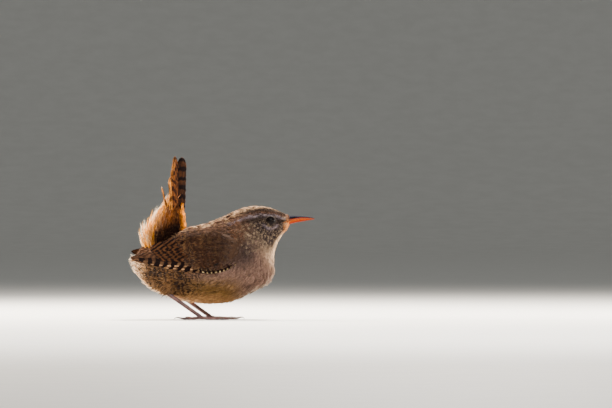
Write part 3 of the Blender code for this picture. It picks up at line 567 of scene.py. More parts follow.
def is_free(spot, gap, cell, taken):
    """Whether every place taken so far is at least the gap away."""
    key = (spot // cell).astype(int)
    for step in product((-1, 0, 1), repeat=3):
        for q in taken.get((key[0] + step[0], key[1] + step[1], key[2] + step[2]), ()):
            if (spot[0] - q[0]) ** 2 + (spot[1] - q[1]) ** 2 + (spot[2] - q[2]) ** 2 < gap * gap:
                return False
    taken.setdefault(tuple(key), []).append(tuple(spot))
    return True


def scatter(surface, s_range, a_range, spacing, keep, tries):
    """Evenly spread places on a surface, no two nearer than the spacing there."""
    s = rng.uniform(*s_range, tries)
    a = rng.uniform(*a_range, tries)
    here = surface(s, a)
    step = 0.02
    run = surface(s + step, a) - surface(s - step, a)
    area = np.linalg.norm(np.cross(run, surface(s, a + step) - surface(s, a - step)), axis=-1)
    gap = spacing(s, a, here)
    chance = area / gap**2
    order = np.argsort(rng.uniform(0, 1, tries))
    use = (rng.uniform(0, 1, tries) < np.clip(chance / np.percentile(chance, 90), 0, 1)) & keep(s, a, here)
    cell, taken = float(gap.max()), {}
    chosen = [k for k in order if use[k] and is_free(here[k], gap[k], cell, taken)]
    return s[chosen], a[chosen]


# The body's coat


def blend(a, b, share):
    share = np.clip(share, 0, 1)[..., None]
    return np.asarray(a) * (1 - share) + np.asarray(b) * share


def layered(colours, *layers):
    """Colours blended in turn with layers, each a colour and its share."""
    for colour, share in layers:
        colours = blend(colours, colour, share)
    return colours


def ramp(value, low, high):
    t = np.clip((value - low) / (high - low), 0, 1)
    return t * t * (3 - 2 * t)


def bell(value, middle, width):
    return np.exp(-((value - middle) / width) ** 2)


def brow_line(x):
    """Height of the pale brow line along the side of the head."""
    at = (0.0, 4.4, 8.9, 11.8, 15.5, 18.7, 21.8, 25.0)
    return np.interp(x, at, (35.8, 38.0, 39.6, 40.4, 40.8, 40.6, 39.8, 39.0))


def above_brow(s, a, here):
    """Share of the head, and share of the crown, nape and back against the face, sides and belly."""
    head = 1 - ramp(s, 5.2, 7.6)
    above = ramp(here[:, 2] - brow_line(here[:, 0]), 0.1, 1.0)
    return head, head * above + (1 - head) * ramp(np.cos(a), 0.05, 0.55)


def from_eye(here):
    return np.linalg.norm(np.abs(here) - EYE, axis=-1)


def vent(s, a):
    """Share of the patch under the tail."""
    return ramp(s, 11.5, 14.0) * ramp(-np.cos(a), 0.84, 0.97)


def by_ankle(here):
    """Share of the flank feathers that hang over the ankles and hide them."""
    x, y, z = here.T
    middle = np.where(y < 0, FOOT_X[RIGHT], FOOT_X[LEFT]) - TARSUS_RUN + 1.5
    near = 1 - ramp(np.abs(x - middle), 2.6, 5.0)
    return near * ramp(z, 10.6, 12.0) * (1 - ramp(z, 15.0, 17.5)) * ramp(np.abs(y), 6.0, 7.2)


def body_tints(s, a, here):
    """Four colours for each body feather, from its root to its tip."""
    x, z = here[:, 0], here[:, 2]
    head, upper_share = above_brow(s, a, here)
    fleck, streak = rng.uniform(0, 1, len(s)), rng.uniform(0, 1, len(s)) < 0.42
    line = brow_line(x)
    pale_rear = np.maximum(ramp(-x, 25.0, 30.0), vent(s, a))
    low_front = 0.85 * ramp(-np.cos(a), 0.72, 0.95)
    under = layered(
        blend(THROAT, BREAST, ramp(s, 4.0, 7.5)),
        (CHIN, 0.8 * ramp(x, 19.5, 22.5) * ramp(z, 33.2, 35.4) * (1 - ramp(z, 36.8, 38.4))),
        (NECK_SIDE, ramp(-x, -17.5, -8.5) * ramp(z, 19.0, 26.5)),
        (BELLY, ramp(-z, -20.0, -13.0) * ramp(-x, -13.0, -3.0)),
        (FLANK, ramp(-x, 4.0, 14.0) * ramp(z, 8.0, 13.0)),
        (LOWER_BELLY, ramp(-z, -12.5, -8.0) * ramp(s, 8.0, 12.0)),
        # The rear's rufous, brightened with painted backlit glow.
        (UNDERTAIL, 0.55 * pale_rear),
        (LOWER_BELLY, 0.20 * by_ankle(here)),
        (CHEEK, head * ramp(s, 0.6, 1.9) * ramp(z, 25.0, 31.0) * (1 - low_front)),
        (np.array(BACK) * 0.5, ramp(-x, -11.5, -4.5) * ramp(z, 22.0, 27.0) * 0.85),
    )
    # Painted rim light: some feathers along the top outline of the head and back take the pale rim colour.
    rim = ramp(np.cos(a), np.interp(s, (3.0, 5.5, 8.0), (0.86, 0.80, 0.74)), 0.95)
    lit = np.interp(s, (4.0, 8.0), (0.85, 0.60)) * (fleck > np.interp(s, (4.0, 8.0), (0.22, 0.42)))
    upper = layered(
        blend(CROWN, BACK, ramp(s, 3.6, 7.5)),
        (RUMP, ramp(s, 13.0, 16.0)),
        (CROWN_DARK, 0.72 * streak * (1 - ramp(s, 4.5, 7.0))),
        (PAINTED_RIM_LIGHT, rim * lit * (1 - ramp(s, 12.0, 15.0))),
    )
    base = blend(under, upper, upper_share)
    tipped = ramp(s, 1.0, 2.2) * ramp(x, 4.0, 12.0) * ramp(z, 25.0, 31.0) * (1 - ramp(z - line, -1.8, -0.8))
    tipped = tipped * (rng.uniform(0, 1, len(s)) < 0.30) * (1 - low_front)
    # Pale tips along the lower outline of the breast are painted backlit rim light.
    fringe_and_rim_light = ramp(s, 6.2, 7.6) * (1 - ramp(s, 9.2, 10.6)) * ramp(-np.cos(a), 0.90, 0.99) * (fleck > 0.25)
    white = pale_rear * (1 - upper_share)
    rows = (
        base * 0.7,
        layered(base, (CROWN_DARK, 0.6 * tipped)),
        layered(
            base * 0.95, (PALE_SPECK, 0.75 * tipped), (WHITE_TIP, 0.30 * white), (PALE_SPECK, 0.8 * fringe_and_rim_light)
        ),
        layered(
            base * 1.15, (WHITE_TIP, 0.85 * white), (PALE_SPECK, 0.85 * tipped), (WHITE_TIP, 0.6 * fringe_and_rim_light)
        ),
    )
    eye_line = np.interp(x, (5.0, 10.0, 13.5, 17.0, 21.5, 25.0), (37.0, 38.6, 39.1, 38.5, 38.1, 38.6))
    stripe = bell(z, eye_line, 0.68) * head * ramp(x, 6.0, 9.5) * 0.95
    brow = bell(z, line, 0.48) * ramp(x, 1.0, 6.0) * (1 - ramp(s, 8.0, 9.5))
    marks = (
        (CROWN_DARK, 0.95 * bell(z - line, 1.80, 0.85) * ramp(x, 4.0, 8.0) * head),
        (BROW, brow * (0.95 - 0.7 * (fleck > 0.62))),
        (CROWN_DARK, np.maximum(stripe, 0.8 * bell(x, 21.4, 1.3) * bell(z, 38.0, 0.7))),
        (BROW, bell(from_eye(here), 3.0, 0.4) * ramp(-z, -38.2, -37.0) * 0.75),
    )
    return np.stack([layered(row, *marks) for row in rows], 1)


def body_marks(s, a, here):
    """How strong the dark bars and the specks are on each body feather."""
    x, z = here[:, 0], here[:, 2]
    head, upper_share = above_brow(s, a, here)
    over = z - brow_line(x)
    flank = ramp(-x, 1.0, 10.0) * ramp(z, 7.0, 11.0) * (1 - 0.4 * ramp(-x, 28.0, 31.0))
    flank = flank * (1 - 0.8 * vent(s, a)) * (1 - 0.5 * by_ankle(here))
    belly = 0.16 * ramp(s, 7.0, 9.0)
    bars = np.maximum(flank, belly) * (1 - upper_share) + 0.55 * upper_share * ramp(s, 5.5, 8.0)
    specks = ramp(s, 1.2, 2.6) * (1 - ramp(over, -1.9, -0.9)) * (0.15 + 0.35 * ramp(z, 24.0, 33.0))
    specks = specks * ramp(x, 3.0, 12.0) * (1 - 0.55 * ramp(x, 17.0, 22.0))
    specks = specks * (1 - 0.8 * ramp(-np.cos(a), 0.72, 0.95))
    streak = 0.55 * head * (ramp(over, 1.0, 2.4) + 0.7 * bell(over, 0.0, 0.8))
    return bars, np.maximum(specks, streak)


def body_size(s, here):
    """Length and width of the body feathers."""
    at = (0.0, 0.8, 2.5, 5.0, 8.0, 12.0)
    length = np.interp(s, (*at, 15.0, 18.0), (0.75, 1.0, 1.5, 2.1, 3.4, 4.2, 5.2, 6.0))
    width = np.interp(s, (*at, 18.0), (0.45, 0.6, 0.9, 1.25, 2.0, 2.3, 2.5))
    near = np.interp(from_eye(here), (2.2, 3.0, 5.0), (0.45, 0.62, 1.0)) * (1 + 0.25 * by_ankle(here))
    return np.stack((length * near, width * near), 1)


def body_spacing(s, a, here):
    gap = np.interp(s, (0.0, 0.8, 2.5, 5.0, 8.0, 12.0, 18.0), (0.20, 0.27, 0.38, 0.53, 0.80, 0.92, 0.98))
    return gap * np.interp(from_eye(here), (2.2, 3.0, 5.0), (0.55, 0.65, 1.0))


def lie_of(s, a, along, out):
    """The direction in which body feathers point: back along the body, a little down on the sides."""
    pull = 0.30 * np.sin(a) ** 2 * ramp(s, 2.0, 5.0) * (1 - ramp(s, 11.0, 14.0))
    lift_up = 0.35 * ramp(s, 13.0, 16.5) * (1 - np.cos(a)) / 2
    return across_of(along + DOWN * (pull - lift_up)[:, None] + rng.normal(0, 0.07, along.shape), out)


def part_round_eye(way, here, out):
    """Turns the feathers next to an eye so that none points across it."""
    away = here - EYE * np.stack((np.ones(len(here)), np.sign(here[:, 1]), np.ones(len(here))), 1)
    reach = np.linalg.norm(away, axis=-1)
    away = across_of(away, out)
    inward = np.minimum(np.sum(way * away, -1), 0) * (1 - ramp(reach, 3.2, 4.4))
    return unit(way - away * (inward * 1.15)[:, None])


SIDE_STEPS = np.linspace(0.0, LAST, 400)
SIDE_RUN = np.linalg.norm(np.diff(body_point(SIDE_STEPS, math.pi / 2), axis=0), axis=-1)
SIDE_RUN = np.concatenate(((0.0,), np.cumsum(SIDE_RUN)))
TURN_RADIUS = 13.0


def body_lie(s, a):
    """Millimetres from the bill along the side, and how fast they grow along the surface at s and a."""
    step = 0.05
    lie = np.interp(s, SIDE_STEPS, SIDE_RUN)
    grown = np.interp(s + step, SIDE_STEPS, SIDE_RUN) - np.interp(s - step, SIDE_STEPS, SIDE_RUN)
    reach = np.linalg.norm(body_point(s + step, a) - body_point(s - step, a), axis=-1)
    return lie, np.clip(grown / np.maximum(reach, 1e-3), 0.4, 2.0)


def body_keep(s, a, here):
    """Leaves out the places on the eyes and those that the folded wings hide."""
    x, y, z = here.T
    _, low, high = table_at_x(WING_OUTLINE, np.clip(x, -36, 8)).T
    hidden = (x < 3.4) & (x > -26.0) & (z > low + 0.9) & (z < high - 4.5) & (np.abs(y) > 8.0)
    clear_of_eye = from_eye(here) > EYE_RADIUS + 0.15
    return clear_of_eye & ~hidden


def coat(name, s_range, a_range, material, tries, lift=0.42, loose=0.10, **style):
    """One region of the body's coat."""
    s, a = scatter(body_point, s_range, a_range, body_spacing, body_keep, tries)
    here, along, out = surface_frame(body_point, s, a, coat_depth(s))
    x, z = here[:, 0], here[:, 2]
    lie, run = body_lie(s, a)
    way = part_round_eye(lie_of(s, a, along, out), here, out)
    over, fluffy = by_ankle(here), ramp(-x, 26.0, 30.5) * ramp(-z, -24.0, -19.0)
    hanging = np.array((-0.75, 0.0, -0.62))
    way = unit(way * (1 - over)[:, None] + hanging * over[:, None])
    size = body_size(s, here)
    outline = np.interp(x - 2.0, SECTIONS[::-1, 2], SECTIONS[::-1, 3])
    room = np.maximum((z - outline - 0.2) / 0.8, 1.3)
    size[:, 0] = np.where(over > 0.1, np.minimum(size[:, 0], room), size[:, 0])
    uv = [(value - low) / (high - low) for value, (low, high) in ((a, a_range), (s, s_range))]
    soft_piece(name, material, "plumage", here, way, out, size, body_tints(s, a, here), np.stack(uv, 1), lie,
               a * TURN_RADIUS, *body_marks(s, a, here), run, lift=lift + 0.12 * fluffy,
               loose=loose + 0.10 * fluffy, **style)


def make_skin(material):
    """The skin under the body's coat, hollowed for the eyes."""
    s = np.linspace(0.0, LAST, 150)
    a = np.linspace(0, math.tau, 96, endpoint=False)
    grid_s, grid_a = np.meshgrid(s, a, indexing="ij")
    rings = body_point(grid_s, grid_a, coat_depth(grid_s))
    hollow = EYE_RADIUS + 0.02
    for side, _ in SIDES:
        centre = EYE * (1, side, 1)
        away = rings - centre
        distance = np.linalg.norm(away, axis=-1, keepdims=True)
        rings = np.where(distance < hollow, centre + unit(away) * hollow, rings)
    s, a, spots = grid_s.ravel(), grid_a.ravel(), rings.reshape(-1, 3)
    turn = np.where(a > math.pi, a - math.tau, a) * TURN_RADIUS
    marks = (body_lie(s, a)[0], turn, *body_marks(s, a, spots))
    tints = body_tints(s, a, spots)[:, 1] * 0.5
    tints, *marks = (np.concatenate((v, v[:1], v[-1:])) for v in (tints, *marks))
    loft_piece("skin", rings, material, "plumage", ("head", "neck", "torso"), tints=tints,
               floats=dict(zip(MARKS, marks)))


# Firm feathers on the wings and the tail

VANE_THICK = 0.10
VANE_KEYS = ("along", "across", "phase", "barring", "pale")


def vane_grid(columns, rows, blunt, root_share):
    """Shares along (0 root to 1 tip) and across (-1 to 1), and the half width's share at each row."""
    t = 1 - (1 - np.linspace(0, 1, rows)) ** 1.15
    grown = root_share + (1 - root_share) * np.sin(np.minimum(t / 0.45, 1) * math.pi / 2)
    closing = (1 - np.clip((t - (1 - blunt)) / blunt, 0, 1) ** 2) ** 0.5
    return t, np.linspace(-1, 1, columns), grown * np.maximum(closing, 0.03)


def vane_solid(top, out):
    """Closes a grid of points (rows, columns, 3) into a thin solid below it."""
    rows, columns = top.shape[:2]
    points = np.concatenate((top.reshape(-1, 3), (top - out * VANE_THICK).reshape(-1, 3)))
    r, c = np.meshgrid(np.arange(rows - 1), np.arange(columns - 1), indexing="ij")
    a = (r * columns + c).ravel()
    b, d, e = a + 1, a + columns, a + columns + 1
    n = rows * columns
    faces = quads(a, b, d, e) + [np.stack((a, e, b), -1) + n, np.stack((a, d, e), -1) + n]
    rim = [*range(columns), *(k * columns + columns - 1 for k in range(1, rows))]
    rim += [(rows - 1) * columns + k for k in range(columns - 2, -1, -1)]
    rim = np.array(rim + [k * columns for k in range(rows - 2, 0, -1)])
    following = np.roll(rim, -1)
    faces += quads(rim, rim + n, following, following + n)
    return points, outward(points, np.concatenate(faces))


def shaft_ridge(across):
    return 0.05 * np.exp(-((across / 0.08) ** 2))


def ragged_edge(t, start):
    """Uneven half widths beyond the start, as shares of the even ones."""
    return 1 + 0.05 * rng.normal(0, 1, (len(t), 1)) * (t > start)[:, None]


class VaneSet:
    """Collects firm feathers into one piece, each with its own rectangle on the bake map."""

    def __init__(self, columns=11, rows=26):
        self.columns, self.rows = columns, rows
        self.items = []

    def add(self, top, out, length, t, across, tint, phase=0.0, barring=1.0, pale=1.0, tip_tint=None):
        points, faces = vane_solid(top, out)
        grid_t, side = (grid.ravel() for grid in np.meshgrid(t, across, indexing="ij"))
        along = (1 - grid_t) * length
        tints = np.tile(np.asarray(tint, float), (len(along), 1))
        if tip_tint is not None:
            tints = blend(tints, tip_tint, ramp(-along, -0.07 * length, 0.0))
        tints *= 1 + rng.normal(0, 0.07)
        uv = np.stack((side * 0.5 + 0.5, grid_t), 1)
        even = [np.full(len(points), value) for value in (phase, barring, pale)]
        floats = (np.tile(along, 2), np.tile(side, 2), *even)
        self.items.append((points, faces, np.tile(tints, (2, 1)), np.tile(uv, (2, 1)), *floats))

    def piece(self, name, material, slot, replaced=()):
        columns = math.ceil(math.sqrt(len(self.items) * 2.5))
        rows = math.ceil(len(self.items) / columns)
        points, faces, tints, uvs, *floats = zip(*self.items)
        starts = np.cumsum([0, *map(len, points)])
        faces = [each + start for each, start in zip(faces, starts)]
        corners = [np.array((k % columns, k // columns), float) for k in range(len(uvs))]
        uvs = [(corner + 0.04 + 0.92 * uv) / (columns, rows) for corner, uv in zip(corners, uvs)]
        join = np.concatenate
        floats = {key: join(values) for key, values in zip(VANE_KEYS, floats)}
        add_piece(name, join(points), join(faces), material, slot, replaced, join(tints), floats, join(uvs))


# How deep a wing lies in the coat, and the side table's cells: their size, where they start, how many.
SUNK, CELL, SIDE_X, SIDE_Z = 1.1, 0.5, -40.0, 0.0
CELLS_X, CELLS_Z = 140, 100


def side_table():
    """How far out the coat reaches at each X and Z, as the body is seen from the side."""
    s, a = np.meshgrid(np.linspace(0, LAST, 1500), np.linspace(0, math.pi, 700), indexing="ij")
    p = body_point(s, a).reshape(-1, 3)
    i, k = ((p[:, 0] - SIDE_X) / CELL).astype(int), ((p[:, 2] - SIDE_Z) / CELL).astype(int)
    table = np.zeros((CELLS_X, CELLS_Z))
    np.maximum.at(table, (i, k), p[:, 1])
    for _ in range(3):
        table[1:-1] = (table[:-2] + 2 * table[1:-1] + table[2:]) / 4
        table[:, 1:-1] = (table[:, :-2] + 2 * table[:, 1:-1] + table[:, 2:]) / 4
    return table


SIDE_TABLE = side_table()


def side_reach(x, z):
    """The side table between its cells."""
    x, z = (x - SIDE_X) / CELL - 0.5, (z - SIDE_Z) / CELL - 0.5
    i = np.clip(np.floor(x).astype(int), 0, CELLS_X - 2)
    k = np.clip(np.floor(z).astype(int), 0, CELLS_Z - 2)
    u, v = x - i, z - k
    low = SIDE_TABLE[i, k] * (1 - u) + SIDE_TABLE[i + 1, k] * u
    return low * (1 - v) + (SIDE_TABLE[i, k + 1] * (1 - u) + SIDE_TABLE[i + 1, k + 1] * u) * v


def bed_spot(x, z):
    rows = table_at_x(WING_BED, x)
    share = np.minimum(np.abs(z - rows[..., 1]) / rows[..., 2], 0.97)
    bed, coat_side = rows[..., 3] * np.sqrt(1 - share * share), side_reach(x, z) - SUNK
    return np.stack((x, (bed + coat_side + np.sqrt((bed - coat_side) ** 2 + 0.3)) / 2 - 0.1, z), -1)


def bed_point(x, z, height, side):
    """Points over the surface that the folded wing lies on, and the directions out of it."""
    x, z, height = np.broadcast_arrays(*(np.asarray(value, float) for value in (x, z, height)))
    turn = math.radians(WING_LIFT[side])
    run, rise = x - WING_PIVOT[0], z - WING_PIVOT[1]
    x = WING_PIVOT[0] + run * math.cos(turn) + rise * math.sin(turn)
    z = WING_PIVOT[1] - run * math.sin(turn) + rise * math.cos(turn)
    step = 0.2
    upward = bed_spot(x, z + step) - bed_spot(x, z - step)
    ahead = bed_spot(x + step, z) - bed_spot(x - step, z)
    out = unit(np.cross(upward, ahead))
    out *= np.where(out[..., 1:2] < 0, -1, 1)
    here = bed_spot(x, z) + height[..., None] * out
    return here * (1, side, 1), out * (1, side, 1)


def wing_feather(group, side, root, tip, width, height, tint, bow=0.0, blunt=0.22, camber=0.14, shingle=0.14,
                 **kind):
    """A wing feather on the wing's bed between two places seen from the side, as (X, Z).

    Its lower edge stands a little higher than its upper edge, which lies under the next feather.
    """
    root, tip = np.array(root, float), np.array(tip, float)
    length = np.linalg.norm(tip - root)
    direction = (tip - root) / length
    over = np.array((-direction[1], direction[0]))
    over *= 1 if over[1] > 0 else -1
    t, across, half = vane_grid(group.columns, group.rows, blunt, 0.6)
    middle = root + (tip - root) * t[:, None] + over * (bow * 4 * t * (1 - t))[:, None]
    spread = across[None] * width / 2 * half[:, None] * ragged_edge(t, 0.5)
    spot = middle[:, None] + over * spread[..., None]
    rise = height[0] + (height[1] - height[0]) * t
    lifted = rise[:, None] + camber * width * 0.5 * (1 - across**2)[None] - shingle * spread
    top, out = bed_point(spot[..., 0], spot[..., 1], lifted + shaft_ridge(across)[None], side)
    group.add(top, out, length, t, across, tint, **kind)


def between(a, b, share):
    return np.asarray(a, float) * (1 - share) + np.asarray(b, float) * share


def primary_tip(share):
    """Where a primary ends, from the innermost (share 0) past the longest to the outermost (1)."""
    longest, (end_x, end_z) = 2 / 3, (-35.9, 24.0)
    if share < longest:
        short = 1 - share / longest
        return end_x + 10.4 * short**1.6, end_z + 1.7 * short
    past = (share - longest) / (1 - longest)
    return end_x + 4.0 * past**1.3, end_z - 0.5 * past


# Root, tip and paleness of the outer primaries' edges.
OUTER_PRIMARIES = (
    ((0.0, 22.7), (-33.2, 23.7), 0.15),
    ((0.4, 22.2), (-31.2, 23.1), 1.0),
    ((0.8, 21.7), (-28.8, 22.4), 0.12),
    ((1.2, 21.2), (-25.8, 21.7), 0.85),
    ((1.6, 20.7), (-22.0, 21.0), 0.1),
    ((2.0, 20.2), (-17.0, 20.3), 0.3),
)
# Root, tip, width, height at the root and tip, bow and paleness of the spotted feathers in front of them.
SPOTTED_EDGE = (
    ((3.4, 22.7), (-10.4, 20.4), 2.2, (0.6, 1.1), -0.7, 0.10),
    ((4.0, 22.4), (-8.6, 20.1), 2.0, (0.7, 1.3), -0.9, 0.2),
    ((5.0, 22.0), (-9.2, 19.4), 1.9, (0.75, 1.25), -1.35, 1.0),
)


def make_wing(side, label, materials):
    flight, outer = VaneSet(), VaneSet()
    covert, spotted = VaneSet(9, 18), VaneSet(9, 18)
    for k in range(9):
        f = k / 8
        wing_feather(flight, side, between((-3.5, 23.6), (2.0, 21.6), f), primary_tip(f), 2.9,
                     (0.75 - 0.2 * f, 0.45), PRIMARY, bow=-0.4 * f, phase=0.6 * k, blunt=0.16, barring=0.65,
                     shingle=0.06)
    for k, (root, tip, pale) in enumerate(OUTER_PRIMARIES):
        wing_feather(outer, side, root, tip, 2.5, (0.9 - 0.1 * k, 0.7 - 0.08 * k), np.array(PRIMARY) * 0.6,
                     bow=-0.75, phase=tip[0] + 0.42 * k, blunt=0.2, shingle=0.10, pale=pale)
    for k in range(5):
        f = k / 4
        root, tip = between((-5.0, 24.2), (-8.0, 28.4), f), between((-25.0, 24.6), (-27.8, 27.2), f)
        wing_feather(flight, side, root, tip, 3.4, (0.6, 0.95 + 0.2 * f), TERTIAL, bow=0.3 * f,
                     phase=tip[0] + 0.9 * k + rng.uniform(-0.3, 0.3))
    for k in range(3):
        f = k / 2
        root, tip = between((-6.5, 28.6), (-5.0, 30.6), f), between((-27.2, 28.0), (-18.4, 30.4), f)
        wing_feather(flight, side, root, tip, 3.8, (0.45, 1.2), TERTIAL, bow=0.5, camber=0.10,
                     phase=tip[0] + 0.9 * (k + 5) + rng.uniform(-0.3, 0.3), blunt=0.3)
    for k in range(9):
        f = k / 8
        root, tip = between((1.0, 21.4), (-2.0, 31.6), f), between((-9.8, 21.6), (-14.0, 31.4), f)
        wing_feather(covert, side, root, tip + rng.normal(0, 0.25, 2), 2.8, (0.8, 1.45), WING_BROWN, bow=0.35,
                     blunt=0.5, phase=rng.uniform(0, 3), barring=0.7, tip_tint=(0.08, 0.042, 0.021))
    for k, (root, tip, width, height, bow, pale) in enumerate(SPOTTED_EDGE):
        wing_feather(spotted, side, root, tip, width, height, np.array(WING_BROWN) * 0.8, bow=bow, blunt=0.35,
                     phase=0.5 * k, shingle=0.10, pale=pale)
    flight.piece(f"wing_flight_{label}", materials["flight"], "barred_wing")
    outer.piece(f"wing_outer_primaries_{label}", materials["checker"], "barred_wing")
    covert.piece(f"wing_coverts_{label}", materials["covert"], "barred_wing")
    spotted.piece(f"wing_alula_{label}", materials["spotted"], "barred_wing")
    make_wing_arm(side, label, materials["skin"])
    make_shoulder(side, label, materials["skin"])
    wing_coat(side, label, materials["soft"])


def make_wing_arm(side, label, material):
    """The feathered arm under the coverts."""
    rings = []
    for n, x in enumerate(np.linspace(6.5, -13.0, 22)):
        _, bottom, top = table_at_x(WING_OUTLINE, x)
        z = np.linspace(bottom + 2.0, top - 1.2, 13)
        lens = 1 - np.linspace(-1, 1, 13) ** 4
        swell = math.sin(math.pi * min(0.04 + 0.9 * n / 21, 0.97))
        upper, _ = bed_point(x, z, 0.1 + 1.0 * np.sqrt(np.maximum(lens * swell, 0)), side)
        lower, _ = bed_point(x, z, -0.1, side)
        rings.append(np.concatenate((lower, upper[::-1])))
    loft_piece(f"wing_arm_{label}", rings, material, "barred_wing", (f"wing_{label}",), (0.04, 0.02, 0.011))


def wing_cover(side, x, q, height=0.0):
    """From the back (q 0) over the wing's upper edge (q 1) and down to its lower edge (q 2)."""
    x, q = np.broadcast_arrays(np.asarray(x, float), np.asarray(q, float))
    ridge = body_point(np.linspace(0, LAST, 500), side * 0.42, 0.7)
    back = np.stack([np.interp(-x, -ridge[:, 0], ridge[:, k]) for k in range(3)], -1)
    rows = table_at_x(WING_OUTLINE, np.clip(x, -36, 8))
    edge = rows[..., 2] - 3.6
    over = np.interp(x, (-14.0, -9.0, 0.0, 4.0, 8.0, 9.5), (1.3, 1.5, 1.2, 0.8, 0.3, 0.0)) + height
    wing, _ = bed_point(x, edge, over, side)
    chord = wing - back
    out = unit(np.cross(chord, -FORWARD))
    out = out * np.where(out[..., 1:2] * side < 0, -1, 1)
    bulge = np.interp(x, (-13.0, 0.0, 5.0, 7.0), (1.3, 0.8, 0.1, 0.0)) * np.sin(math.pi * np.clip(q, 0, 1))
    bulge = bulge + height * (1 - np.clip(q, 0, 1))
    upper = back + chord * np.minimum(q, 1)[..., None] + out * bulge[..., None]
    lower, down_out = bed_point(x, edge + (rows[..., 1] + 0.5 - edge) * np.clip(q - 1, 0, 1), over, side)
    low = (q > 1)[..., None]
    return np.where(low, lower, upper), np.where(low, down_out, out)


def make_shoulder(side, label, skin):
    """A thin pad that bridges the back and the wing under the soft coverts."""
    rings = []
    q, top = np.linspace(-0.05, 1.25, 15), -0.75
    for n, x in enumerate(np.linspace(5.5, -13.5, 24)):
        thick = 0.25 + 1.0 * math.sin(math.pi * min(max(n / 23, 0.03), 0.97)) ** 0.5
        upper, lower = (wing_cover(side, x, q, height)[0] for height in (top, top - thick))
        rings.append(np.concatenate((lower, upper[::-1])))
    loft_piece(f"shoulder_{label}", rings, skin, "plumage", plain=(0.03, 0.015, 0.008))


def wing_coat(side, label, material):
    """The soft scapulars and lesser coverts, from the back over the wing's front half."""
    depth = -0.45

    def surface(x, q):
        return wing_cover(side, x, q, depth)[0]

    def gap(x, q, here):
        return np.interp(x, (-13.0, 0.0, 9.0), (0.72, 0.62, 0.52))

    def keep(x, q, here):
        end = np.interp(q, (0.0, 0.6, 1.0, 1.3, 2.0), (-15.0, -15.0, -13.0, -10.5, -8.0))
        end = end + rng.normal(0, 1, len(x)) * np.interp(q, (0.9, 1.3), (2.4, 1.2))
        front = np.interp(q, (0.0, 0.5, 1.0, 1.5, 2.0), (2.0, 6.0, 9.5, 9.0, 6.5))
        front = front + rng.normal(0, 0.9, len(x))
        low = np.interp(x, (-14.0, -8.0, -4.0, 0.0, 4.0, 7.0), (20.8, 20.6, 20.2, 20.6, 21.8, 22.6))
        return (x > end) & (x < front) & (here[:, 2] > low)

    x, q = scatter(surface, (-15.5, 9.5), (-0.15, 1.98), gap, keep, 16000)
    here, out = wing_cover(side, x, q, depth)
    along = unit(surface(x - 0.4, q + 0.008) - here)
    count = len(x)
    grown = np.interp(x, (-13.0, 0.0, 9.0), (1.15, 1.0, 0.8))
    size = np.stack((rng.uniform(2.6, 3.4, count) * grown, rng.uniform(1.3, 1.7, count) * grown), 1)
    front = ramp(x + rng.normal(0, 1.8, count), -1.0, 9.5)
    hind = ramp(-x, 2.0, 11.0)
    base = layered(
        blend(BACK, WING_BROWN, ramp(q, 0.35, 1.0)),
        (TERTIAL, 0.8 * hind * ramp(q, 0.3, 0.8)),
        (blend(BREAST, NECK_SIDE, ramp(here[:, 2], 19.5, 25.0)), front),
    )
    # Some feathers near the back take the painted rim light, some take pale fringes and some take specks.
    top_light, fringe_and_rim_light, speck = (rng.uniform(0, 1, count) < share for share in (0.4, 0.35, 0.22))
    pale = layered(
        base,
        (FRINGE, 0.6 * fringe_and_rim_light),
        (PAINTED_RIM_LIGHT, 0.7 * (1 - ramp(q, 0.15, 0.6)) * top_light),
        (PALE_SPECK, 0.7 * ramp(x, -1.0, 6.0) * speck),
    )
    rows = np.stack((base * 0.7, base, base * 0.85, pale), 1)
    uv = np.stack(((x + 15.5) / 25, (q + 0.15) / 2.2), 1)
    soft_piece(f"wing_coat_{label}", material, "barred_wing", here, along, out, size, rows, uv, -x, q * 9,
               0.35 + 0.50 * hind, 0.35 * ramp(x, 1.0, 7.0), locks=6, lift=0.24, curl=0.14, loose=0.07,
               tone=0.28)


# Degrees by which a tail feather leans, and the half widths of its front and back webs.
TAIL_LEANS = (58.0, 62.0, 64.0, 66.0, 66.0, 62.0)
TAIL_WEBS = ((2.0, 2.2), (1.1, 1.2), (1.0, 1.1), (1.1, 1.1), (1.15, 1.2), (0.95, 1.05))


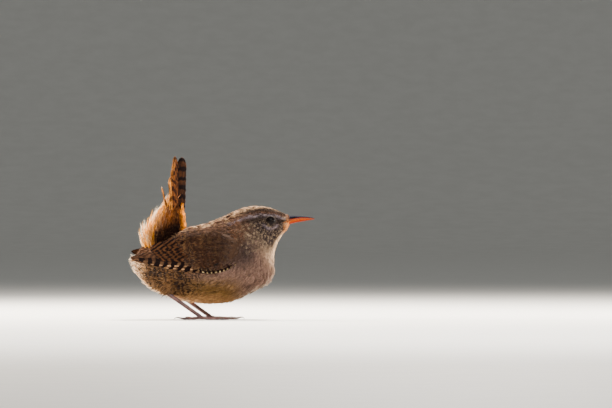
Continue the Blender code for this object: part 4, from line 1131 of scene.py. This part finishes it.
def make_tail(materials):
    """Six pairs of tail feathers, folded like a roof, over a root that the coverts hide."""
    outer, inner = VaneSet(11, 34), VaneSet(11, 34)
    for (side, _), (i, (tip_x, tip_z, tip_y)) in product(SIDES, enumerate(TAIL_TIPS)):
        middle, stray = i == 0, i == len(TAIL_TIPS) - 1
        group = inner if middle else outer
        lean = math.radians(TAIL_LEANS[i])
        root = np.array((-17.0 - 0.6 * i, side * (0.5 + 0.42 * i), 35.5))
        tip = np.array((tip_x, side * tip_y, tip_z))
        forward = np.array((math.sin(lean), -side * math.cos(lean), 0.0))
        out = np.array((math.cos(lean), side * math.sin(lean), 0.0))
        t, across, half = vane_grid(group.columns, group.rows, 0.55 if stray else 0.13, 0.55)
        bend = np.stack((t, t**2.4 if stray else t, t), 1)
        if stray:
            half = half * (1 - 0.75 * t)
        front, back = TAIL_WEBS[i]
        half = np.where(across > 0, front, back) * half[:, None] * ragged_edge(t, 0.3)
        spine = root + (tip - root) * bend + out * (0.5 * np.sin(math.pi * t) - 0.1 * i)[:, None]
        top = spine[:, None] + forward * (across * half)[..., None]
        top = top + out * (0.3 * (1 - across**2) + shaft_ridge(across))[None, :, None]
        # The middle pair is painted as in shade, shading over to the tail's rufous on the outer pairs.
        tint = blend(TAIL_IN_SHADE, RUST, np.array((i - 0.2) / 1.6))
        group.add(top, np.broadcast_to(out, top.shape), np.linalg.norm(tip - root), t, across, tint,
                  phase=0.9 * i, barring=1.0 if middle else 0.85, pale=0.0 if middle else 1.0,
                  tip_tint=WHITE_TIP if stray else tint * 1.5 + 0.03)
    inner.piece("tail_middle_feathers", materials["tail"], "rusty_tail", ("tail",))
    outer.piece("tail_outer_feathers", materials["tail"], "rusty_tail")
    s = np.linspace(0, len(TAIL_ROOT) - 1.0, 40)
    a = np.linspace(0, math.tau, 40, endpoint=False)
    grid_s, grid_a = np.meshgrid(s, a, indexing="ij")
    slim = np.interp(grid_s, (2.2, 4.2, 6.0), (0.0, 1.6, 0.6)) * ramp(np.cos(grid_a), -0.3, 0.4)
    core = tail_root_point(grid_s, grid_a, np.interp(grid_s, (0, 3, 6), (1.3, 1.4, 0.9)) + slim)
    loft_piece("tail_root", core, materials["skin"], None, plain=(0.10, 0.035, 0.010))


def tail_coverts(material):
    """Long loose coverts: rusty, with whitish tips behind, painted backlit glow at the front and back edges,
    and painted shade on some front coverts and where they leave the back.
    """
    last = len(TAIL_ROOT) - 1.0

    def gap(s, a, here):
        return np.full(len(s), 0.70)

    def rooted(s, a, here):
        limit = np.interp(np.cos(a), (-0.4, 0.1, 0.9, 1.0), (last - 0.3, 2.9, 2.6, 3.6))
        return (here[:, 2] > 25.0) & (s < limit + rng.normal(0, 0.25, len(s)))

    s, a = scatter(tail_root_point, (0.2, last - 0.3), (0, math.tau), gap, rooted, 10000)
    here, along, out = surface_frame(tail_root_point, s, a, np.interp(s, (0, 3, 6), (1.2, 1.3, 0.8)))
    count, front = len(s), np.cos(a)
    behind = ramp(-front, -0.35, 0.65)
    lie = across_of(unit(along + np.array((0.10, 0.0, 0.7)) + rng.normal(0, 0.06, along.shape)), out)
    length = (4.2 + 3.6 * behind) * rng.uniform(0.70, 1.12 + 0.28 * behind)
    length = length * np.interp(s, (0, 4, 6), (0.85, 1.0, 0.85))
    highest_tip = 51.0
    length = np.minimum(length, np.maximum((highest_tip - here[:, 2]) / np.maximum(lie[:, 2], 0.5), 1.6))
    size = np.stack((length, np.full(count, 2.0)), 1)
    fleck, painted_shade = rng.uniform(0, 1, count), rng.uniform(0, 1, count) < 0.45
    # Painted shade: some coverts on the front take the tail's brown as seen in shade.
    flank = blend(np.array(RUST) * 1.3, TAIL_IN_SHADE, 0.9 * painted_shade * ramp(front, 0.0, 0.5))
    # Painted backlit glow: orange on the front edge, bright rufous on the rear edge.
    backlit_share = np.maximum(ramp(front, 0.74, 0.93), ramp(-front, 0.30, 0.75))
    base = blend(flank, blend(BACKLIT_GLOW, UNDERTAIL, behind), backlit_share)
    white = (0.10 * behind + 0.80 * ramp(-front, 0.55, 0.95)) * (fleck > 0.40) * (1 - 0.5 * ramp(s, 3.0, 5.5))
    rows = [
        base * 0.6, base,
        layered(base, (BAR_DARK, 0.35 * (fleck > 0.6)), (WHITE_TIP, 0.7 * white)),
        blend(base * 1.15, WHITE_TIP, white),
    ]
    for i, reach in enumerate((*LOCK_RINGS, 1.0)):
        x, _, z = (here + lie * length[:, None] * reach).T
        back_line = 36.9 + 0.52 * (x + 13.2)
        above_back = z - back_line
        shadow = (1 - ramp(above_back, 2.5, 6.8)) * ramp(x, -30.0, -25.0) * ramp(-x, 14.5, 18.0)
        rows[i] = blend(rows[i], BLACKISH, 0.97 * shadow)
    uv = np.stack((a / math.tau, s / last), 1)
    soft_piece("tail_coverts", material, "rusty_tail", here, lie, out, size, np.stack(rows, 1), uv, s * 4,
               a * 6, 0.25, 0.0, locks=6, lift=0.22 - 0.02 * behind, curl=0.10, loose=0.09 + 0.05 * behind,
               spread=0.6)


# Eyes, bill and legs


def ball_rings(centre, radius, side, rings=40, around=64):
    polar = np.linspace(0.02, math.pi - 0.02, rings)[:, None]
    turn = turns(around)
    wide, level = np.sin(polar), side * np.cos(polar) * np.ones(around)
    return centre + radius * np.stack((wide * np.cos(turn), level, wide * np.sin(turn)), -1)


def make_eyes():
    """The eyeballs, each in a ring of lids that is drawn out a little before and behind it."""
    wet = two_tone("wet_eye", 0.05, 0.03, 260.0, (0.002, 0.002, 0.002), (0.005, 0.003, 0.003), detail=2.0,
                   coat_weight=0.015, coat_roughness=0.02)
    lid_skin = two_tone("lid_skin", 0.55, 0.12, 2200.0, (0.012, 0.008, 0.007), (0.035, 0.022, 0.017),
                        (0.3, 0.7), bump=(0.5, 0.00005))
    lid_radius, lid_thick, lid_rise = 1.84, 0.20, 1.10
    around, ring = 56, 10
    turn = turns(around)
    stretch = 1.0 + 0.10 * np.cos(turn) ** 4
    lean = -0.13 * np.cos(turn) - 0.05 * np.sin(turn)
    i, j = np.meshgrid(np.arange(around), np.arange(ring), indexing="ij")
    here, after = i * ring, (i + 1) % around * ring
    lid_faces = np.concatenate(quads(here + j, here + (j + 1) % ring, after + j, after + (j + 1) % ring))
    for side, label in SIDES:
        centre = EYE * (1, side, 1)
        ball = ball_rings(centre, EYE_RADIUS, side)
        loft_piece(f"eyeball_{label}", ball, wet, "dark_eye", (f"eye_{label}",))
        rows = []
        for angle in turns(ring):
            radius = (lid_radius + lid_thick * math.cos(angle)) * stretch
            rise = lid_rise + lid_thick * math.sin(angle) + lean * 1.2
            rows.append(centre + np.stack((radius * np.cos(turn), side * rise, radius * np.sin(turn)), -1))
        faces = lid_faces[:, ::-1] if side < 0 else lid_faces
        add_piece(f"eyelids_{label}", np.stack(rows, 1), faces, lid_skin, "plumage")


def bill_material(name, dark, light, split):
    """Horn, dark along the ridge and paler towards the cutting edge, with fine growth lines."""
    n = Nodes(name, 0.5, 0.01)
    streaks = n.noise(700.0)
    edge = n.plus(n.attribute("height"), n.times(n.minus(streaks, 0.5), 0.3))
    n.bump(streaks, 0.15, 0.00004)
    return n.colour(n.mix(n.smooth(edge, split - 0.18, split + 0.18), light, dark))


def mandible(name, rows, material, slot, replaced, sign):
    """One half of the bill; sign is 1 for the upper half, with its ridge above, and -1 for the lower."""
    turn = math.pi * np.arange(21) / 20
    flat = np.linspace(-1, 1, 9)[1:-1]
    profile = np.sin(turn) ** 0.8
    rings = []
    for x, top, mouth, low, wide in rows:
        edge = mouth + sign * 0.05
        y, z = wide * np.cos(turn), edge + ((top if sign > 0 else low) - edge) * profile
        if sign > 0:
            nostril_dent = 0.16 * bell(x, 27.7, 0.75)
            y = y * (1 - nostril_dent * bell(profile, 0.55, 0.28))
        y, z = np.concatenate((y, flat * wide * 0.98)), np.append(z, np.full(len(flat), edge))
        rings.append(np.stack((np.full(len(y), x), y, z), -1))
    heights = np.tile(np.append(profile, np.zeros(len(flat))), len(rings))
    loft_piece(name, rings, material, slot, replaced, floats={"height": np.append(heights, (0.5, 0.5))})


def make_bill():
    rows = table_at(BILL, np.linspace(0, len(BILL) - 1, 60))
    # The base runs back under the feathers.
    rows[:, 0] -= np.linspace(1.2, 0, 60) ** 2 * 0.6
    # The orange of the horn is partly the bill's own colour and partly a painted glow of light shining through
    # it.
    horn = bill_material("upper_horn", (0.006, 0.006, 0.012), (0.26, 0.030, 0.002), 0.20)
    mandible("upper_mandible", rows, horn, "dark_horn", ("bill_upper",), 1.0)
    horn = bill_material("lower_horn", (0.16, 0.012, 0.0008), (0.27, 0.042, 0.0015), 0.5)
    mandible("lower_mandible", rows[:-3] * (1, 1, 1, 1, 0.9), horn, "light_horn", ("bill_lower",), -1.0)
    lip_skin = two_tone("gape_skin", 0.6, 0.02, 900.0, (0.10, 0.022, 0.005), (0.20, 0.055, 0.012),
                        (0.35, 0.65))
    dark = two_tone("nostril_skin", 0.8, 0.0, 1500.0, (0.002, 0.0015, 0.0015), (0.006, 0.004, 0.004))
    f, g = np.arange(16) / 15, np.arange(12) / 11
    lip_swell = np.sin(math.pi * (0.10 + 0.85 * f)) ** 0.6
    nostril_swell = np.sin(math.pi * (0.06 + 0.88 * g))
    for side, label in SIDES:
        lip = np.stack((27.0 - 4.2 * f, side * (1.62 + 3.05 * f**0.8), 38.72 - 1.15 * f**1.1), 1)
        loft_piece(f"gape_{label}", tube_rings(lip, 0.14 * lip_swell, 10), lip_skin, "light_horn")
        slit = np.stack((26.7 + 1.9 * g, side * (1.50 - 0.28 * g), 39.33 + 0.30 * g), 1)
        loft_piece(f"nostril_{label}", tube_rings(slit, 0.17 * nostril_swell, 12), dark, "dark_horn")


def bill_base_feathers(material):
    """Short feathers that grow forward over the bill's base, at the forehead, lores and chin."""
    count = 420
    a = rng.uniform(-math.pi, math.pi, count)
    s = rng.uniform(0.15, 1.3, count)
    here, along, out = surface_frame(body_point, s, a, coat_depth(s))
    _, y, z = here.T
    ahead = FORWARD - along * 0.35 + out * 0.05 + rng.normal(0, 0.10, (count, 3))
    ahead[:, 1] -= 0.55 * y / 3.0
    ahead[:, 2] += 0.75 * ramp(-z, -38.2, -37.4) - 0.25 * ramp(z, 38.5, 41.0)
    along = unit(ahead)
    mouth = np.abs(z - 38.1) < 0.55
    length = np.where(mouth, 0.8, rng.uniform(1.2, 1.9, count)) * (1 - 0.5 * ramp(-z, -38.2, -37.0))
    size = np.stack((length, np.full(count, 0.55)), 1)
    base = layered(blend(CHIN, CROWN, ramp(z, 38.0, 39.5)), (CROWN_DARK, 0.6 * bell(z, 38.4, 0.5)))
    rows = np.stack((base * 0.8, base, base, base * 1.15), 1)
    uv = np.stack(((a + math.pi) / math.tau, s / 1.5), 1)
    soft_piece("coat_bill_base", material, "plumage", here, along, across_of(out, along), size, rows, uv, s,
               a * 4, lift=0.10, curl=0.20, loose=0.05, locks=4)


def leg_material(name):
    n = Nodes(name, 0.45, 0.25)
    blotch = n.smooth(n.noise(330.0), 0.35, 0.65)
    n.bump(n.noise(1300.0), 0.3, 0.00008)
    colour = n.mix(blotch, (0.060, 0.030, 0.030), (0.135, 0.062, 0.052))
    return n.colour(n.mix(n.times(n.attribute("crease"), 0.6), colour, (0.026, 0.014, 0.014)))


def scaled_tube(name, path, radii, sides, material, scutes, replaced=(), depth=0.10, flatten=0.9,
                lowest=None):
    """A leg or toe with overlapping scutes on its upper side, given by a saw-tooth in the radius."""
    saw = np.linspace(0, scutes, len(path)) % 1.0
    front = np.clip(np.sin(turns(sides)) * 0.5 + 0.65, 0, 1)
    factor = 1 + depth * (saw[:, None] - 0.5) * front[None]
    rings = tube_rings(path, np.ones(len(path)), sides, flatten)
    rings = path[:, None] + (rings - path[:, None]) * (np.asarray(radii)[:, None] * factor)[..., None]
    if lowest is not None:
        rings[..., 2] = np.maximum(rings[..., 2], lowest)
    crease = bell(np.minimum(saw, 1 - saw), 0.0, 0.10)[:, None] * front[None]
    floats = {"crease": np.append(crease, (0.0, 0.0))}
    loft_piece(name, rings, material, "leg_skin", replaced, floats=floats)


def leg_points(side):
    ankle = np.array((FOOT_X[side] - TARSUS_RUN, side * ANKLE_SPREAD, ANKLE_Z))
    knee = ankle + np.array((KNEE_OFFSET[0], 0.0, KNEE_OFFSET[1]))
    foot = np.array((FOOT_X[side], side * FOOT_SPREAD, TARSUS_FOOT_Z))
    return knee, ankle, foot


def make_leg(side, label, skin, claw_material):
    """The shank, the toes and their claws; the hind toe stands for the foot's solid."""
    knee, ankle, foot = leg_points(side)
    tibia, shank = unit(ankle - knee), unit(foot - ankle)
    bend = np.array((
        ankle - tibia * 4.0, ankle - tibia * 2.4, ankle - tibia * 0.9 + shank * 0.25, ankle + shank * 1.1,
        ankle + shank * 3.0, ankle + shank * 8.0, foot - shank * 3.0, foot - shank * 1.0,
        foot + (0.5, 0, -0.5),
    ))
    path = table_at(bend, np.linspace(0, len(bend) - 1, 150))
    radii = np.interp(np.linspace(0, 1, 150), (0, 0.2, 0.3, 0.42, 0.55, 0.8, 0.93, 1.0),
                      (0.6, 0.80, 0.98, 0.90, 0.78, 0.76, 0.84, 0.6))
    scaled_tube(f"shank_{label}", path, radii, 20, skin, 13.0, (f"tarsus_{label}",))
    toe_thick, claw_thick = 0.55, 0.42
    for toe, heading, length, claw in TOES:
        turn = math.radians(heading)
        ahead = np.array((math.cos(turn), side * math.sin(turn), 0.0))
        root = np.array((foot[0] + 0.25, foot[1], 0.0))
        t = np.linspace(0, 1, 90)
        rise = TOE_RADIUS + 0.5 * (1 - t) ** 3
        path = root + ahead * ((length + 0.25) * t)[:, None] + UP * rise[:, None]
        radii = toe_thick * (1 + 0.13 * np.cos(t * math.tau * 2.5)) * (1.08 - 0.22 * t)
        scaled_tube(f"toe_{toe}_{label}", path, radii, 16, skin, length * 1.35,
                    (f"foot_{label}",) if toe == "hind" else (), 0.14, 0.92, lowest=0.0)
        t = np.linspace(0, 1, 30)
        rise = TOE_RADIUS + 0.5 * np.sin(math.pi * t**1.5) - 0.33 * t * t
        start = root + ahead * (length - 0.2)
        path = start + ahead * ((claw + 0.5) * (t - 0.12 * t * t))[:, None] + UP * rise[:, None]
        rings = tube_rings(path, claw_thick * (1 - t) ** 0.7 + 0.02, 14, 0.7)
        loft_piece(f"claw_horn_{toe}_{label}", rings, claw_material, "claw_horn", (f"claw_{toe}_{label}",))


def make_thigh(side, label, skin, feather):
    """The feathered lower thigh, out of the belly's plumage to the bare ankle."""
    knee, ankle, _ = leg_points(side)
    tibia = unit(ankle - knee)
    run = ankle - tibia * 2.9 - knee
    t = np.linspace(0, 1, 24)
    rings = tube_rings(knee + run * t[:, None], 2.7 - 2.0 * t**1.2, 24)
    loft_piece(f"thigh_core_{label}", rings, skin, "plumage", (f"thigh_{label}",), (0.07, 0.035, 0.018))
    count = 420
    t, turn = rng.uniform(0.0, 1.0, count), rng.uniform(0, math.tau, count)
    across = np.array((0.0, 1.0, 0.0))
    out = np.cos(turn)[:, None] * across + np.sin(turn)[:, None] * np.cross(tibia, across)
    here = knee + run * t[:, None] + out * (2.6 - 2.0 * t**1.2)[:, None]
    size = np.stack((3.4 - 0.2 * t, 1.3 - 0.3 * t), 1)
    base = blend(FLANK, LOWER_BELLY, rng.uniform(0, 1, count))
    rows = np.stack((base * 0.6, base, base * 0.9, base * 1.2), 1)
    uv = np.stack((turn / math.tau, t), 1)
    soft_piece(f"thigh_feathers_{label}", feather, "plumage", here, np.broadcast_to(tibia, here.shape), out,
               size, rows, uv, t * 9, turn * 3, 0.8, 0.0, locks=5, lift=0.12, curl=0.10, loose=0.06)


# Studio

MIDDLE = (0.0, 0.0, 0.03)
# The lamps: name, place, target and size in metres, power in watts, and colour.
LAMPS = (
    ("key", (0.16, -0.50, 0.42), MIDDLE, 0.35, 5.6, (1.0, 0.98, 0.95)),
    ("rim", (-0.26, 0.34, 0.36), MIDDLE, 0.14, 10.0, (1.0, 0.90, 0.76)),
    ("top_light", (0.12, 0.24, 0.56), MIDDLE, 0.14, 23.0, (1.0, 0.93, 0.84)),
    ("breast", (0.42, 0.12, 0.10), MIDDLE, 0.10, 5.0, (1.0, 0.93, 0.84)),
    ("tail", (-0.42, 0.06, 0.12), (-0.02, 0.0, 0.03), 0.10, 6.0, (1.0, 0.92, 0.80)),
)


def make_lamp(name, place, target, size, power, colour):
    data = bpy.data.lights.new(name, "AREA")
    data.size, data.energy, data.color = size, power, colour
    lamp = bpy.data.objects.new(name, data)
    bpy.context.scene.collection.objects.link(lamp)
    lamp.location = place
    lamp.rotation_euler = Vector(np.subtract(target, place)).to_track_quat("-Z", "Y").to_euler()


def make_studio():
    """A pale floor that bends up into a wall, soft daylight and the lamps."""
    pale = two_tone("pale_floor", 0.6, 0.2, 60.0, (0.60, 0.59, 0.565), (0.64, 0.63, 0.605), (0.2, 0.8), 2.0)
    mesh = bpy.data.meshes.new("studio_floor")
    wide, start, bend = 7.0, 3.6, 2.2
    turn = np.linspace(0, math.pi / 2, 24)
    profile = [(-7.0, 0.0), *zip(start + bend * np.sin(turn), bend * (1 - np.cos(turn))), (start + bend, 7.0)]
    points = [(x, y, z) for y, z in profile for x in (-wide, wide)]
    faces = [(2 * k, 2 * k + 1, 2 * k + 3, 2 * k + 2) for k in range(len(profile) - 1)]
    mesh.from_pydata(points, [], faces)
    mesh.shade_smooth()
    mesh.materials.append(pale)
    floor = bpy.data.objects.new("studio_floor", mesh)
    bpy.context.scene.collection.objects.link(floor)
    world = bpy.data.worlds.new("studio")
    world.use_nodes = True
    daylight = world.node_tree.nodes["Background"].inputs
    daylight["Color"].default_value = (0.80, 0.82, 0.80, 1.0)
    daylight["Strength"].default_value = 0.40
    bpy.context.scene.world = world
    for lamp in LAMPS:
        make_lamp(*lamp)


def make_camera():
    """Level with the bird, square to its right side, framed as the photograph is."""
    pixel = 0.39
    data = bpy.data.cameras.new("camera")
    distance = 3.0
    data.sensor_width = 36.0
    data.lens = 36.0 * distance / (612 * pixel * MM)
    data.clip_end = 50.0
    camera = bpy.data.objects.new("camera", data)
    bpy.context.scene.collection.objects.link(camera)
    camera.location = ((306 - 222.8) * pixel * MM, -distance, (319.5 - 204) * pixel * MM)
    camera.rotation_euler = (math.pi / 2, 0, 0)
    bpy.context.scene.camera = camera


def main():
    make_camera()
    make_studio()
    skin = skin_material()
    feather = soft_feather("body_feathers")
    make_skin(skin)
    around = (-math.pi, math.pi)
    upper, lower = (-math.pi / 2, math.pi / 2), (math.pi / 2, math.pi * 1.5)
    coat("coat_face", (0.0, 3.4), around, feather, 60000, locks=6, lift=0.30, curl=0.16)
    coat("coat_head", (3.4, 6.2), around, feather, 26000, locks=7, lift=0.36, curl=0.20)
    coat("coat_shoulders", (6.2, 10.5), upper, feather, 12000, tone=0.18)
    coat("coat_breast", (6.2, 10.5), lower, feather, 12000, lift=0.50, loose=0.15, tone=0.18)
    coat("coat_back", (10.5, 16.4), upper, feather, 12000, tone=0.2)
    coat("coat_belly", (10.5, LAST - 0.2), lower, feather, 14000, lift=0.46, tone=0.18)
    bill_base_feathers(feather)
    materials = {
        "flight": vane_feather("barred_flight", 2.5, BLACKISH, -2.4, duty=-0.05, soft=0.4, axis=-0.62),
        "checker": vane_feather("checkered_primaries", 3.2, BLACKISH, 0.2, duty=-0.30, web=CHECKER,
                                soft=0.35),
        "covert": vane_feather("barred_coverts", 1.7, (0.010, 0.005, 0.003), -0.8),
        "spotted": vane_feather("spotted_coverts", 1.56, BLACKISH, 0.0, duty=-0.40, soft=0.4,
                                web=(0.42, 0.31, 0.16), web_from=-0.45),
        # The bright orange between the bars on the outer tail feathers' lower webs is the tail's rufous with
        # painted backlit glow.
        "tail": vane_feather("barred_tail", 3.6, BLACKISH, -0.5, duty=0.15, soft=0.35,
                             web=(0.72, 0.26, 0.045), web_from=-0.05, web_bars=0.45, streaks=0.85),
        "skin": skin,
        "soft": feather,
    }
    for side, label in SIDES:
        make_wing(side, label, materials)
        make_thigh(side, label, skin, feather)
    make_tail(materials)
    tail_coverts(soft_feather("tail_covert_feathers", 0.0, 0.0))
    make_eyes()
    make_bill()
    legs = leg_material("leg_scales")
    claws = two_tone("claw_horn_shine", 0.3, 0.5, 500.0, (0.07, 0.045, 0.04), (0.17, 0.11, 0.085))
    for side, label in SIDES:
        make_leg(side, label, legs, claws)


main()
